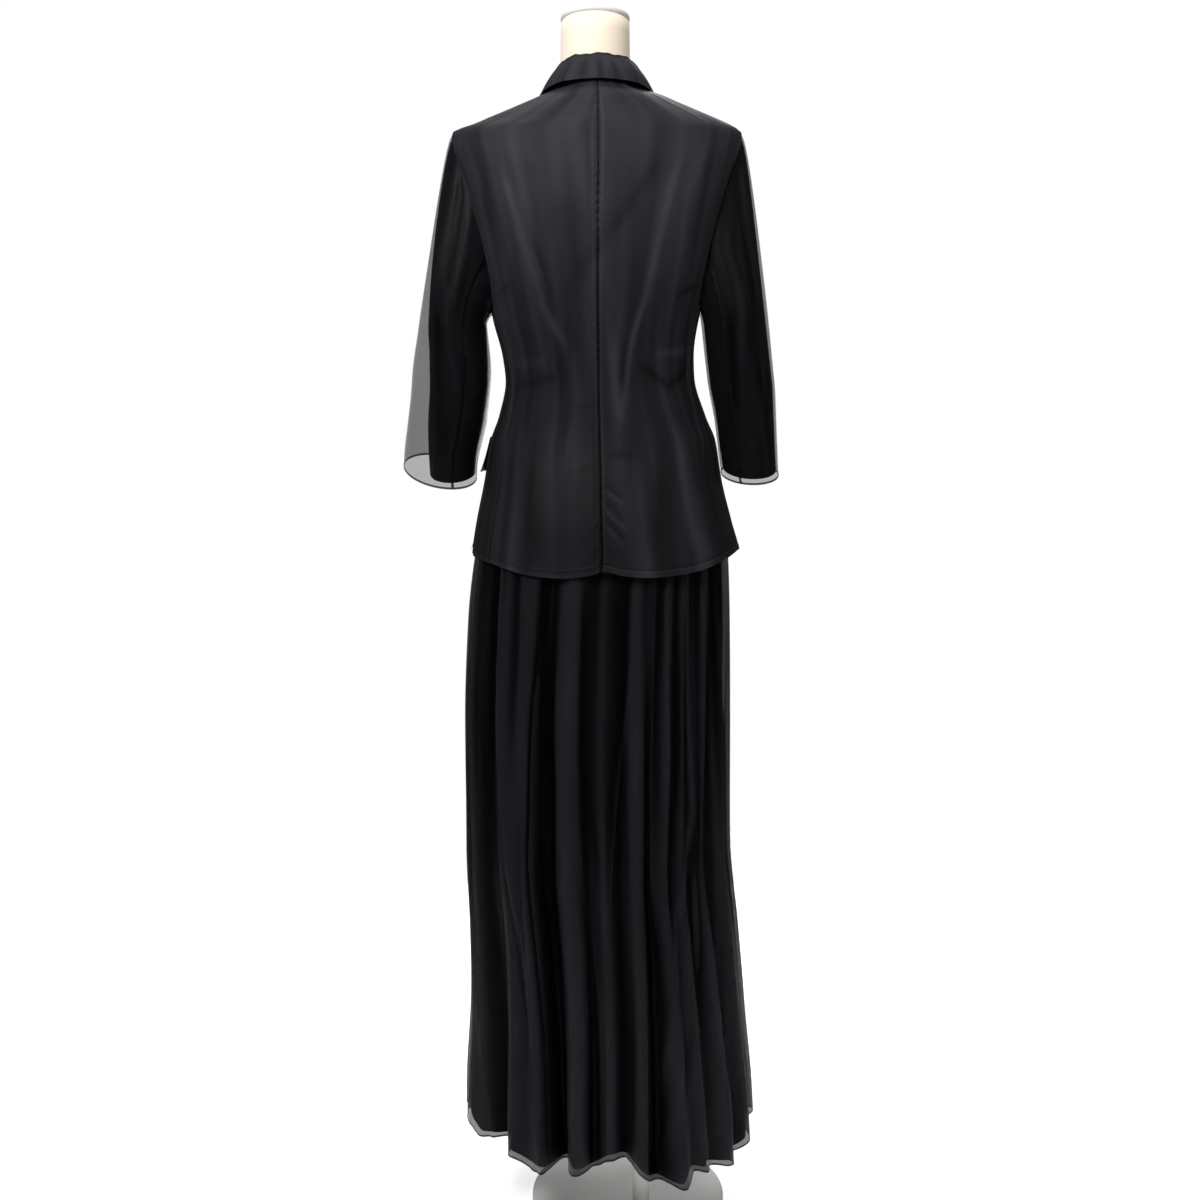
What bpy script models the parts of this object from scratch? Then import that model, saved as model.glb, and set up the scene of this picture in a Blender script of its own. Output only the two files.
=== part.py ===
"""A sheer black skirt suit on a limbless dress form and its stand.

The jacket's back faces -Y and its front +Y, with +Z up and the floor at z = 0.
A point of a garment is given by theta, its angle in degrees round the body (0 at
the centre back, 90 at +X, 180 at the centre front, -90 at -X), and its height z.
"""

import math

import bpy
import numpy as np

for old in list(bpy.data.objects):
    bpy.data.objects.remove(old, do_unlink=True)

# Driving sizes, in metres and degrees
WALL = 0.0012  # every cloth wall
SEAM_ANGLE = 0.14  # half the gap at a seam, as an angle round the body
BLACK = (0.012, 0.012, 0.015)
SHEER = (0.02, 0.02, 0.024)
CREAM = (0.83, 0.76, 0.64)

JACKET_HEM = 0.945
HEM_DIP = 0.017  # the hem hangs this much lower at the centre back
UNDERARM = 1.262
ARMHOLE_DIP = 0.012
SHOULDER_TIP = 1.474
UNDER_GAP = 0.0006  # the side panel's top edge stops this far below the armhole
ARMHOLE_GAP = 0.0020
OVERLAP_STEP = 0.0015  # each front leaves the body's line by this where they overlap
BUTTON_RADIUS = 0.0075
BUTTON_THICK = 0.003
# Buttons: height, and how far each stands off the curve under it
BUTTONS = ((1.262, 0.0003), (1.196, 0.0008), (1.130, 0.0003))

SKIRT_TOP = 1.165
SKIRT_HEM = 0.126
LINING_HEM = 0.136
WAISTBAND_TOP = 1.195
WAISTBAND_WALL = 0.0015

NECK_TOP = 1.611
NECK_SLANT = 0.14  # the neck's end drops by this part of the way to the front
CAP_THICK = 0.008
POLE_RADIUS = 0.0118
POLE_X = 0.054
POLE_Y = -0.030
BASE_RADIUS = 0.137
BASE_THICK = 0.015
BASE_X = 0.036
FORM_BOTTOM = 0.735
FLAT_GAP = 0.0003

# Rows of a body: height, centre x, half width, depth to the back, depth to the
# front, and the power of its superellipse (2 is an ellipse, more is squarer)
JACKET = (
    (0.920, 0.003, 0.180, 0.134, 0.116, 2.10),
    (0.945, 0.003, 0.177, 0.131, 0.114, 2.10),
    (0.985, 0.001, 0.168, 0.125, 0.110, 2.10),
    (1.036, 0.000, 0.156, 0.112, 0.104, 2.15),
    (1.089, 0.000, 0.147, 0.097, 0.100, 2.15),
    (1.120, -0.001, 0.135, 0.091, 0.097, 2.15),
    (1.170, -0.004, 0.123, 0.086, 0.094, 2.15),
    (1.195, -0.006, 0.124, 0.087, 0.097, 2.15),
    (1.245, -0.009, 0.133, 0.096, 0.113, 2.20),
    (1.300, -0.008, 0.145, 0.107, 0.126, 2.25),
    (1.370, -0.008, 0.160, 0.111, 0.116, 2.30),
    (1.425, -0.008, 0.173, 0.103, 0.092, 2.35),
    (1.455, -0.008, 0.181, 0.094, 0.074, 2.40),
    (1.474, -0.008, 0.184, 0.088, 0.064, 2.40),
    (1.487, -0.002, 0.158, 0.083, 0.058, 2.40),
    (1.501, -0.002, 0.124, 0.078, 0.053, 2.35),
    (1.515, -0.002, 0.089, 0.073, 0.049, 2.25),
    (1.528, -0.007, 0.060, 0.064, 0.048, 2.10),
)
SKIRT = (
    (0.100, 0.009, 0.200, 0.150, 0.142, 2.00),
    (0.183, 0.007, 0.197, 0.146, 0.138, 2.00),
    (0.304, 0.005, 0.188, 0.141, 0.131, 2.00),
    (0.422, 0.000, 0.183, 0.136, 0.124, 2.00),
    (0.540, -0.007, 0.179, 0.132, 0.119, 2.00),
    (0.709, -0.008, 0.178, 0.128, 0.114, 2.05),
    (0.850, -0.005, 0.174, 0.125, 0.111, 2.05),
    (0.930, -0.002, 0.168, 0.121, 0.106, 2.10),
    (0.985, 0.001, 0.160, 0.115, 0.101, 2.10),
    (1.036, 0.000, 0.149, 0.104, 0.097, 2.15),
    (1.089, 0.000, 0.138, 0.091, 0.094, 2.15),
    (1.130, -0.002, 0.125, 0.085, 0.091, 2.15),
    (1.165, -0.004, 0.1190, 0.0820, 0.0890, 2.15),
)
FORM = (
    (0.735, 0.000, 0.116, 0.072, 0.064, 2.10),
    (0.748, 0.000, 0.132, 0.086, 0.076, 2.10),
    (0.790, -0.002, 0.142, 0.094, 0.083, 2.10),
    (0.870, -0.003, 0.148, 0.098, 0.086, 2.10),
    (0.950, -0.001, 0.146, 0.097, 0.086, 2.10),
    (1.036, 0.000, 0.131, 0.086, 0.0825, 2.15),
    (1.100, -0.002, 0.120, 0.077, 0.080, 2.15),
    (1.165, -0.004, 0.1155, 0.0785, 0.0855, 2.15),
    (1.195, -0.004, 0.1155, 0.0785, 0.0855, 2.15),
    (1.245, -0.008, 0.123, 0.086, 0.101, 2.20),
    (1.300, -0.008, 0.134, 0.096, 0.112, 2.25),
    (1.370, -0.008, 0.148, 0.100, 0.104, 2.30),
    (1.425, -0.008, 0.161, 0.094, 0.083, 2.35),
    (1.451, -0.008, 0.171, 0.087, 0.067, 2.40),
    (1.468, -0.008, 0.178, 0.082, 0.058, 2.40),
    (1.483, -0.003, 0.1590, 0.079, 0.054, 2.40),
    (1.498, -0.002, 0.1245, 0.074, 0.048, 2.35),
    (1.512, -0.002, 0.0850, 0.066, 0.039, 2.25),
    (1.526, -0.008, 0.0520, 0.053, 0.036, 2.10),
    (1.550, -0.010, 0.0445, 0.0445, 0.0425, 2.00),
    (1.590, -0.010, 0.0435, 0.0435, 0.0425, 2.00),
    (1.640, -0.010, 0.0430, 0.0430, 0.0425, 2.00),
)
# Edges of the jacket's panels: height, the angle where the back panel ends and the
# angle where the front panel starts
PANEL_EDGES = (
    (0.920, 57.0, 125.0),
    (1.050, 56.0, 124.0),
    (1.165, 66.0, 117.0),
    (1.262, 72.0, 108.0),
    (1.300, 68.0, 113.0),
    (1.330, 68.0, 114.0),
    (1.370, 70.0, 112.0),
    (1.410, 74.0, 107.0),
    (1.452, 82.0, 98.0),
    (1.474, 90.0, 90.0),
    (1.528, 90.0, 90.0),
)
# The front opening: height, and how far a front's edge is from the body's middle
# line, less than nothing where it crosses over
OPENING = (
    (0.920, -0.012),
    (1.296, -0.012),
    (1.310, -0.002),
    (1.360, 0.019),
    (1.420, 0.034),
    (1.474, 0.046),
    (1.509, 0.053),
    (1.528, 0.059),
)
JACKET_ROWS = (
    0.945, 0.985, 1.036, 1.089, 1.130, 1.165, 1.196, 1.230, 1.262,
    1.310, 1.360, 1.410, 1.448, 1.474, 1.490, 1.509, 1.528,
)
PANEL_COLUMNS = np.linspace(0, 1, 7)  # parts of the way across a back or a front
SIDE_COLUMNS = np.linspace(0, 1, 6)
FORM_COLUMNS = 36

# Edges of the skirt's folds, going once round: its angle under the jacket's hem, at
# knee height and at the hem, and how far it stands out there, in millimetres
FOLD_HEIGHTS = (0.86, 0.53, 0.20)
FOLDS = (
    (-92, -92, -93, 0, -3, -6),
    (-82, -83, -80, 1, 1, 3),
    (-72, -74, -67, 3, 5, 10),
    (-62, -63, -57, 0, -1, -4),
    (-52, -54, -48, -3, -6, -20),
    (-42, -40, -39, 4, 8, 14),
    (-37, -35, -33, 0, 3, 5),
    (-28, -31, -26, 5, 9, 16),
    (-19, -23, -20, -7, -18, -25),
    (-10, -12, -12, 5, 9, 15),
    (-2, -5, -5, -2, -5, -7),
    (5, 3, 1, 2, 5, 6),
    (11, 9, 7, -2, -5, -8),
    (19, 17, 14, 3, 6, 11),
    (25, 23, 21, -3, -10, -13),
    (30, 29, 28, 3, 4, 15),
    (33, 33, 34, 0, -2, 3),
    (37, 37, 38, 3, 5, 13),
    (41, 41, 44, -2, -2, -3),
    (49, 47, 52, 5, 9, 13),
    (57, 53, 58, -6, -8, -15),
    (70, 66, 68, 3, 6, 10),
    (80, 77, 76, -2, -4, -6),
    (94, 92, 91, 2, 4, 7),
    (106, 105, 104, -3, -7, -14),
    (118, 119, 118, 4, 8, 13),
    (130, 131, 130, -3, -8, -15),
    (143, 141, 143, 4, 9, 14),
    (155, 155, 154, -2, -6, -12),
    (166, 167, 168, 3, 8, 15),
    (178, 180, 181, -3, -9, -16),
    (191, 192, 193, 4, 8, 12),
    (203, 202, 203, -3, -5, -10),
    (214, 215, 217, 3, 9, 16),
    (226, 228, 229, -4, -9, -17),
    (238, 239, 240, 3, 7, 12),
    (249, 249, 250, -2, -5, -11),
    (259, 260, 259, 2, 5, 9),
)
# How far the skirt's hem is drawn up, by its angle there, in millimetres
HEM_LIFT = (
    (-93, 12),
    (-80, 26),
    (-66, 32),
    (-56, 31),
    (-45, 20),
    (-38, 14),
    (-32, 3),
    (-16, 6),
    (-5, 9),
    (1, 25),
    (7, 20),
    (14, -2),
    (21, -18),
    (28, -22),
    (34, -6),
    (44, -11),
    (58, -15),
    (68, -2),
    (76, 15),
    (91, 12),
    (105, 4),
    (180, 0),
    (267, 12),
)
SKIRT_ROWS = (0.0, 0.12, 0.25, 0.389, 0.54, 0.706, 0.81, 0.91, 1.0)
LINING_LEVELS = (0.0, 0.383, 0.704, 0.808, 0.909, 1.0)
SIDE_SEAMS = (0, 23)  # the edges in FOLDS that lie on the skirt's side seams
BACK_SEAM = 12  # the edge that lies on its centre back seam
LINING_EASE = 0.0112  # the lining hangs this far inside the skirt
WAIST_EASE = 0.0017  # and this far at the waistband

# Rings of a hanging sleeve: height, centre x, half width, centre y, half depth
LEFT_SLEEVE = (
    (1.030, -0.2160, 0.0480, 0.004, 0.043),
    (1.062, -0.2145, 0.0485, 0.004, 0.044),
    (1.115, -0.2050, 0.0510, 0.001, 0.047),
    (1.167, -0.1985, 0.0510, -0.002, 0.050),
    (1.235, -0.1950, 0.0440, -0.004, 0.054),
)
RIGHT_SLEEVE = (
    (1.030, 0.1960, 0.0370, 0.004, 0.041),
    (1.062, 0.1925, 0.0385, 0.004, 0.042),
    (1.115, 0.1870, 0.0405, 0.001, 0.045),
    (1.167, 0.1800, 0.0435, -0.002, 0.048),
    (1.235, 0.1715, 0.0435, -0.004, 0.054),
)
# The lining of each sleeve, in the same columns
LEFT_INNER = (
    (1.037, -0.2020, 0.0290, 0.004, 0.036),
    (1.062, -0.2010, 0.0300, 0.004, 0.037),
    (1.115, -0.1950, 0.0360, 0.001, 0.040),
    (1.167, -0.1920, 0.0390, -0.002, 0.044),
    (1.235, -0.1925, 0.0385, -0.004, 0.049),
)
RIGHT_INNER = (
    (1.037, 0.1955, 0.0330, 0.004, 0.036),
    (1.062, 0.1915, 0.0345, 0.004, 0.037),
    (1.115, 0.1860, 0.0365, 0.001, 0.040),
    (1.167, 0.1790, 0.0395, -0.002, 0.043),
    (1.235, 0.1705, 0.0390, -0.004, 0.049),
)
SLEEVE_SEAMS = (0.32, 0.69)  # back and front seam, as parts of the way round
SLEEVE_SEAM_GAP = 0.0011  # half the gap at these seams, as a part of the way round
SLEEVE_ROWS = (0.0, 0.25, 0.60, 0.99, 1.20, 1.45, 1.68, 1.86, 2.0)
SLEEVE_CUFF_SLOPE = 0.011  # the cuff is this much lower behind the elbow

# The collar, from the centre back (0) round to each front: angle, then the side,
# back-to-front and up places of its stand's foot, its roll and its leaf's edge
COLLAR = (
    (0, 0.000, -0.0635, 1.5300, 0.000, -0.0530, 1.5640, 0.000, -0.0745, 1.5340),
    (30, 0.031, -0.0555, 1.5300, 0.027, -0.0475, 1.5625, 0.038, -0.0690, 1.5330),
    (60, 0.0525, -0.0330, 1.5300, 0.044, -0.0290, 1.5575, 0.061, -0.0430, 1.5290),
    (90, 0.0605, 0.0000, 1.5310, 0.0525, 0.000, 1.5500, 0.072, -0.0010, 1.5260),
    (115, 0.052, 0.0380, 1.5260, 0.053, 0.0380, 1.5380, 0.086, 0.0420, 1.5080),
    (140, 0.0465, 0.0570, 1.4970, 0.051, 0.0640, 1.5070, 0.084, 0.0760, 1.4570),
)
COLLAR_X = -0.007
LAPEL_WIDTH = 0.062
ROLL_RADIUS = 0.0021


def rise(table):
    """The slope of each column at each row, never steep enough to overshoot."""
    steps = np.diff(table[:, 0])[:, None]
    slopes = np.diff(table[:, 1:], axis=0) / steps
    before, after = slopes[:-1], slopes[1:]
    same_way = before * after > 0
    total = np.where(same_way, before + after, 1)
    inner = np.where(same_way, 2 * before * after / total, 0)
    return np.vstack([slopes[:1], inner, slopes[-1:]])


def read(rows, at):
    """Each column of a table at the places given, on a smooth curve through its rows."""
    table = np.array(rows, float)
    slopes = rise(table)
    at = np.asarray(at, float)
    low = np.clip(np.searchsorted(table[:, 0], at, side="right") - 1, 0, len(table) - 2)
    span = table[low + 1, 0] - table[low, 0]
    t = ((at - table[low, 0]) / span)[..., None]
    span = span[..., None]
    value = (
        (2 * t**3 - 3 * t**2 + 1) * table[low, 1:]
        + (t**3 - 2 * t**2 + t) * span * slopes[low]
        + (3 * t**2 - 2 * t**3) * table[low + 1, 1:]
        + (t**3 - t**2) * span * slopes[low + 1]
    )
    return np.moveaxis(value, -1, 0)


def ease_in(value, start, end):
    """0 before start, 1 after end, and a smooth step between them."""
    t = np.clip((value - start) / (end - start), 0, 1)
    return t * t * (3 - 2 * t)


def body_point(rows, theta, z, out=0.0):
    """The point of a body at angle theta and height z, moved out by out."""
    centre, half, back, front, power = read(rows, z)
    side = np.sin(np.radians(theta))
    rear = np.cos(np.radians(theta))
    depth = np.where(rear > 0, back, front) + out
    x = centre + (half + out) * np.sign(side) * np.abs(side) ** (2 / power)
    y = -depth * np.sign(rear) * np.abs(rear) ** (2 / power)
    return np.stack([x, y, z + 0 * x], -1)


def jacket_point(theta, z, out=0.0):
    """The jacket's cloth, whose hem dips at the back and flicks out at its end."""
    dip = HEM_DIP * np.cos(np.radians(theta) / 2) ** 4
    lowered = z - dip * (1 - ease_in(z, JACKET_HEM, JACKET_HEM + 0.14))
    return body_point(JACKET, theta, lowered, out)


def fold_edges():
    """The table of folds, repeated on both sides so that it runs on all the way round."""
    table = np.array(FOLDS, float)
    turn = np.array([360, 360, 360, 0, 0, 0])
    return np.vstack([table - turn, table, table + turn])


def skirt_point(along, z, ease=0.0):
    """The skirt's cloth: along counts the edges of FOLDS, and z is the height. The
    lining hangs inside it by ease, follows its troughs and half fills its ridges."""
    table = fold_edges()
    place = np.asarray(along, float) + len(FOLDS)
    low = np.clip(np.floor(place).astype(int), 0, len(table) - 2)
    part = place - low
    top, knee, hem = FOLD_HEIGHTS
    down_knee = np.clip((top - z) / (top - knee), 0, 1)
    down_hem = np.clip((knee - z) / (knee - hem), 0, 1.15)
    angle_part = part[..., None]
    height_part = (0.5 - 0.5 * np.cos(np.pi * part))[..., None]
    angles = table[low, :3] * (1 - angle_part) + table[low + 1, :3] * angle_part
    heights = table[low, 3:] * (1 - height_part) + table[low + 1, 3:] * height_part

    def over_height(values):
        to_knee = values[..., 0] + (values[..., 1] - values[..., 0]) * down_knee
        return to_knee + (values[..., 2] - values[..., 1]) * down_hem

    stand = over_height(heights) / 1000 * ease_in(-z, -SKIRT_TOP, -FOLD_HEIGHTS[0])
    lining = np.minimum(stand, 0.5 * stand) - ease
    return body_point(SKIRT, over_height(angles), z, np.where(ease > 0, lining, stand))


def hem_lift(along):
    """How far the skirt's hem is drawn up at places counted along FOLDS."""
    edges = fold_edges()[:, 2]
    angle = np.interp(along + len(FOLDS), np.arange(len(edges)), edges)
    return read(HEM_LIFT, angle)[0] / 1000


def wall(name, sheet, across, up, colour, thick=WALL, ring=False, rough=0.45):
    """A wall of cloth on a sheet, which maps a place across and a place up to a point."""
    u, v = np.meshgrid(across, up)
    step = 1e-4
    middle = sheet(u, v)
    run = sheet(u + step, v) - sheet(u - step, v)
    climb = sheet(u, v + step) - sheet(u, v - step)
    normal = np.cross(run, climb)
    normal /= np.linalg.norm(normal, axis=-1, keepdims=True)
    rows, columns = u.shape
    outer = (middle + normal * thick / 2).reshape(-1, 3)
    inner = (middle - normal * thick / 2).reshape(-1, 3)
    size = rows * columns
    faces = []
    last = columns if ring else columns - 1
    for i in range(rows - 1):
        for j in range(last):
            a = i * columns + j
            b = i * columns + (j + 1) % columns
            c, d = b + columns, a + columns
            for corners in ((a, b, c), (a, c, d)):
                faces.append(corners)
                faces.append(tuple(size + corner for corner in reversed(corners)))
    for j in range(last):
        a, b = j, (j + 1) % columns
        faces.append((size + a, size + b, b, a))
        a, b = a + size - columns, b + size - columns
        faces.append((a, b, size + b, size + a))
    if not ring:
        for i in range(rows - 1):
            a, b = i * columns, (i + 1) * columns
            faces.append((a, b, size + b, size + a))
            a, b = a + columns - 1, b + columns - 1
            faces.append((size + a, size + b, b, a))
    return solid(name, np.vstack([outer, inner]), faces, colour, rough)


def solid(name, points, faces, colour, rough=0.5, metallic=0.0):
    """A named object from points and faces, with its own material."""
    mesh = bpy.data.meshes.new(name)
    mesh.from_pydata([tuple(float(c) for c in p) for p in points], [], faces)
    mesh.shade_smooth()
    mesh.set_sharp_from_angle(angle=math.radians(50))
    finish = bpy.data.materials.new(name)
    finish.use_nodes = True
    shader = finish.node_tree.nodes["Principled BSDF"]
    shader.inputs["Base Color"].default_value = (*colour, 1)
    shader.inputs["Roughness"].default_value = rough
    shader.inputs["Metallic"].default_value = metallic
    mesh.materials.append(finish)
    made = bpy.data.objects.new(name, mesh)
    bpy.context.scene.collection.objects.link(made)
    return made


def loft(name, rings, colour, rough=0.5, metallic=0.0):
    """A solid through closed rings of points from the bottom up, with flat ends."""
    count = len(rings[0])
    faces = [tuple(reversed(range(count)))]
    for i in range(len(rings) - 1):
        for j in range(count):
            a, b = i * count + j, i * count + (j + 1) % count
            faces.append((a, b, b + count, a + count))
    faces.append(tuple(range((len(rings) - 1) * count, len(rings) * count)))
    return solid(name, np.vstack(rings), faces, colour, rough, metallic)


def disc_ring(centre_x, centre_y, radius, z, count):
    """A ring of points round an upright axis."""
    angle = np.arange(count) * 2 * np.pi / count
    x = centre_x + radius * np.cos(angle)
    y = centre_y + radius * np.sin(angle)
    return np.stack([x, y, z + 0 * x], -1)


def neck_plane(points, rise_by):
    """The ring laid on the slanting end of the neck, raised by rise_by."""
    points = points.copy()
    points[:, 2] = NECK_TOP - NECK_SLANT * points[:, 1] + rise_by
    return points


def build_form():
    theta = np.arange(FORM_COLUMNS) * 360 / FORM_COLUMNS
    heights = [row[0] for row in FORM[:-1]]
    rings = [body_point(FORM, theta, np.full(FORM_COLUMNS, z)) for z in heights]
    top = body_point(FORM, theta, np.full(FORM_COLUMNS, NECK_TOP))
    rings.append(neck_plane(top, 0))
    loft("form_torso", rings, CREAM, 0.8)
    middle = top.mean(axis=0)
    inward = middle + (top - middle) * 0.93
    small = middle + (top - middle) * 0.80
    cap = [
        neck_plane(inward, FLAT_GAP),
        neck_plane(top, FLAT_GAP + 0.002),
        neck_plane(top, CAP_THICK - 0.002),
        neck_plane(small, CAP_THICK),
    ]
    loft("form_neck_cap", cap, (0.86, 0.84, 0.80), 0.5)


def build_stand():
    rings = [
        disc_ring(BASE_X, 0, BASE_RADIUS, 0, 48),
        disc_ring(BASE_X, 0, BASE_RADIUS, BASE_THICK - 0.004, 48),
        disc_ring(BASE_X, 0, BASE_RADIUS - 0.002, BASE_THICK - 0.001, 48),
        disc_ring(BASE_X, 0, BASE_RADIUS - 0.005, BASE_THICK, 48),
    ]
    loft("stand_base", rings, (0.30, 0.29, 0.27), 0.35, 0.6)
    foot = disc_ring(POLE_X, POLE_Y, POLE_RADIUS, BASE_THICK + FLAT_GAP, 24)
    head = disc_ring(POLE_X, POLE_Y, POLE_RADIUS, FORM_BOTTOM - FLAT_GAP, 24)
    loft("stand_pole", [foot, head], CREAM, 0.45)


def front_step(theta, side):
    """How far a front stands off the body's line, so that the right one lies on top."""
    return side * OVERLAP_STEP * ease_in(theta, 160, 170)


def panel_sheet(side, first, second):
    """A jacket panel between two edges that are angles for each height."""

    def sheet(part, z):
        start, end = first(z), second(z)
        theta = start + (end - start) * part
        return jacket_point(theta * side, z, front_step(theta, side))

    return sheet


def back_edge(z):
    return read(PANEL_EDGES, z)[0]


def front_edge(z):
    return read(PANEL_EDGES, z)[1]


def front_angle(x, z):
    """The angle at which the front of the jacket lies x from its middle line."""
    half, power = read(JACKET, z)[[1, 4]]
    share = np.clip(np.abs(x) / half, 0, 1) ** (power / 2)
    return 180 - np.sign(x) * np.degrees(np.arcsin(share))


def opening_edge(z):
    return front_angle(read(OPENING, z)[0], z)


def side_sheet(side):
    """The panel under the arm, whose top edge is the bottom of the armhole."""

    def sheet(part, z):
        dip = ARMHOLE_DIP * np.sin(np.pi * np.clip(part, 0, 1)) ** 2
        level = z - (dip + UNDER_GAP) * ease_in(z, 1.20, UNDERARM)
        start = back_edge(z) + SEAM_ANGLE
        end = front_edge(z) - SEAM_ANGLE
        return jacket_point((start + (end - start) * part) * side, level)

    return sheet


def build_jacket_body():
    low_rows = [z for z in JACKET_ROWS if z <= UNDERARM]
    for side, word in ((-1, "left"), (1, "right")):
        back = panel_sheet(side, lambda z: SEAM_ANGLE + 0 * z, lambda z: back_edge(z) - SEAM_ANGLE)
        wall(f"back_{word}", back, PANEL_COLUMNS, JACKET_ROWS, BLACK)
        front = panel_sheet(side, lambda z: front_edge(z) + SEAM_ANGLE, opening_edge)
        wall(f"front_{word}", front, PANEL_COLUMNS, JACKET_ROWS, BLACK)
        wall(f"side_{word}", side_sheet(side), SIDE_COLUMNS, low_rows, BLACK)


def armhole(side, parts, inset):
    """Points of a sleeve's top edge at parts of the way round the armhole: 0 is the
    shoulder tip, then down the back, under the arm and up the front. The edge lies
    ARMHOLE_GAP outside the panels and inset nearer the armhole's middle."""
    heights = np.array([z for z in JACKET_ROWS if UNDERARM <= z <= SHOULDER_TIP])
    under = SIDE_COLUMNS[1:-1]
    start, end = back_edge(UNDERARM), front_edge(UNDERARM)
    theta = np.concatenate(
        [back_edge(heights[::-1]), start + (end - start) * under, front_edge(heights)]
    )
    dip = ARMHOLE_DIP * np.sin(np.pi * under) ** 2
    z = np.concatenate([heights[::-1], UNDERARM - dip, heights])
    loop = jacket_point(theta * side, z)
    run = np.concatenate([[0], np.cumsum(np.linalg.norm(np.diff(loop, axis=0), axis=1))])
    at = np.mod(parts, 1) * run[-1]
    points = np.stack([np.interp(at, run, loop[:, k]) for k in range(3)], -1)
    inward = loop.mean(axis=0) - points
    inward /= np.linalg.norm(inward, axis=-1, keepdims=True)
    return points + inward * inset + [side * ARMHOLE_GAP, 0, 0]


def sleeve_sheet(side, rings, inset, cuff):
    """A sleeve: part is the way round it from the outside of the arm through the back,
    and up runs from 0 at the cuff over 1 at the underarm to 2 at the armhole."""
    top = rings[-1][0]

    def ring_point(part, z):
        centre, half, middle, depth = read(rings, z)
        angle = 2 * np.pi * part
        x = centre + side * half * np.cos(angle)
        y = middle - depth * np.sin(angle)
        return np.stack([x, y, z], -1)

    def sheet(part, up):
        low = np.clip(up, -0.01, 1.0)
        slope = SLEEVE_CUFF_SLOPE * np.sin(2 * np.pi * part) * (1 - low)
        z = cuff + (top - cuff) * low - slope
        hanging = ring_point(part, z)
        t = np.clip(2 - up, 0, 1)[..., None]
        edge = armhole(side, part, inset)
        end = ring_point(part, np.full(np.shape(part), top))
        way = np.linalg.norm(end - edge, axis=-1, keepdims=True)
        outward = way * np.array([0.16 * side, 0.0, -0.02])
        downward = way * np.array([0.0, 0.0, -1.05])
        cap = (
            (2 * t**3 - 3 * t**2 + 1) * edge
            + (t**3 - 2 * t**2 + t) * outward
            + (3 * t**2 - 2 * t**3) * end
            + (t**3 - t**2) * downward
        )
        return np.where((up > 1)[..., None], cap, hanging)

    return sheet


def build_sleeves():
    first, second = SLEEVE_SEAMS
    gap = SLEEVE_SEAM_GAP
    for side, word, outer, inner in (
        (-1, "left", LEFT_SLEEVE, LEFT_INNER),
        (1, "right", RIGHT_SLEEVE, RIGHT_INNER),
    ):
        for kind, rings, inset, hem, counts, colour in (
            ("sleeve", outer, 0.0004, 1.044, (8, 7), SHEER),
            ("sleeve_lining", inner, 0.0046, 1.052, (6, 5), BLACK),
        ):
            sheet = sleeve_sheet(side, rings, inset, hem)
            under = np.linspace(first + gap, second - gap, counts[0])
            front_half = np.linspace(second + gap, 1, counts[1])
            back_half = np.linspace(1, 1 + first - gap, counts[1])
            over = np.concatenate([front_half, back_half[1:]])
            wall(f"{kind}_under_{word}", sheet, under, SLEEVE_ROWS, colour)
            wall(f"{kind}_top_{word}", sheet, over, SLEEVE_ROWS, colour)


def collar_sheet(turn, down):
    """The collar: turn is the angle round the neck, down runs from the stand's foot
    (0) over the roll (1) to the leaf's edge (2)."""
    values = read(COLLAR, np.abs(turn))
    mirror = np.sign(turn + 1e-9)
    stand, roll, leaf = (
        np.stack([values[k] * mirror + COLLAR_X, values[k + 1], values[k + 2]], -1)
        for k in (0, 3, 6)
    )
    angle = np.radians(turn)
    out = np.stack([np.sin(angle), -np.cos(angle), 0 * angle], -1)
    down = down[..., None]
    over = np.pi * np.clip((down - 0.85) / 0.3, 0, 1)
    curl = roll - out * ROLL_RADIUS * np.cos(over)
    curl = curl + np.array([0, 0, 1.0]) * ROLL_RADIUS * (np.sin(over) - 1)
    first = stand + (roll - out * ROLL_RADIUS - [0, 0, ROLL_RADIUS] - stand) * down / 0.85
    swell = 0.002 * np.sin(np.pi * np.clip((down - 1.15) / 0.85, 0, 1))
    start = roll + out * ROLL_RADIUS - [0, 0, ROLL_RADIUS]
    last = start + (leaf - start) * (down - 1.15) / 0.85 + out * swell
    return np.where(down < 0.85, first, np.where(down > 1.15, last, curl))


def lapel_sheet(side):
    """A lapel, turned back on the front from its roll at the opening's edge."""

    def sheet(part, z):
        width = LAPEL_WIDTH * ease_in(z, 1.28, 1.46)
        across = np.maximum(read(OPENING, z)[0], 0) + 0.002 + width * part
        theta = front_angle(across, z)
        out = front_step(theta, side) + 0.0020 + 0.002 * part
        return jacket_point(theta * side, z, out)

    return sheet


def flap_sheet(side, rear, flare):
    """A pocket flap on the hip from the angle rear, whose rear corner stands off the
    body by flare."""

    def sheet(part, z):
        drop = (1.092 - z) / 0.045
        theta = rear + 50 * part
        out = 0.0026 + flare * drop**2 * (1 - part) ** 2
        return jacket_point(theta * side, z, out)

    return sheet


def build_jacket_trim():
    turns = np.linspace(-138, 138, 23)
    downs = [0.0, 0.85, 1.0, 1.15, 1.6, 2.0]
    wall("collar", collar_sheet, turns, downs, BLACK)
    parts = np.linspace(0, 1, 5)
    lapel_rows = (1.324, 1.342, 1.360, 1.385, 1.410, 1.430, 1.450)
    for side, word, rear, flare in ((-1, "left", 93, 0.006), (1, "right", 106, 0.002)):
        wall(f"lapel_{word}", lapel_sheet(side), parts, lapel_rows, BLACK)
        flap = flap_sheet(side, rear, flare)
        wall(f"pocket_flap_{word}", flap, parts, (1.047, 1.07, 1.092), BLACK)
    for number, (height, gap) in enumerate(BUTTONS, 1):
        build_button(f"button_{number}", height, gap)


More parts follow.
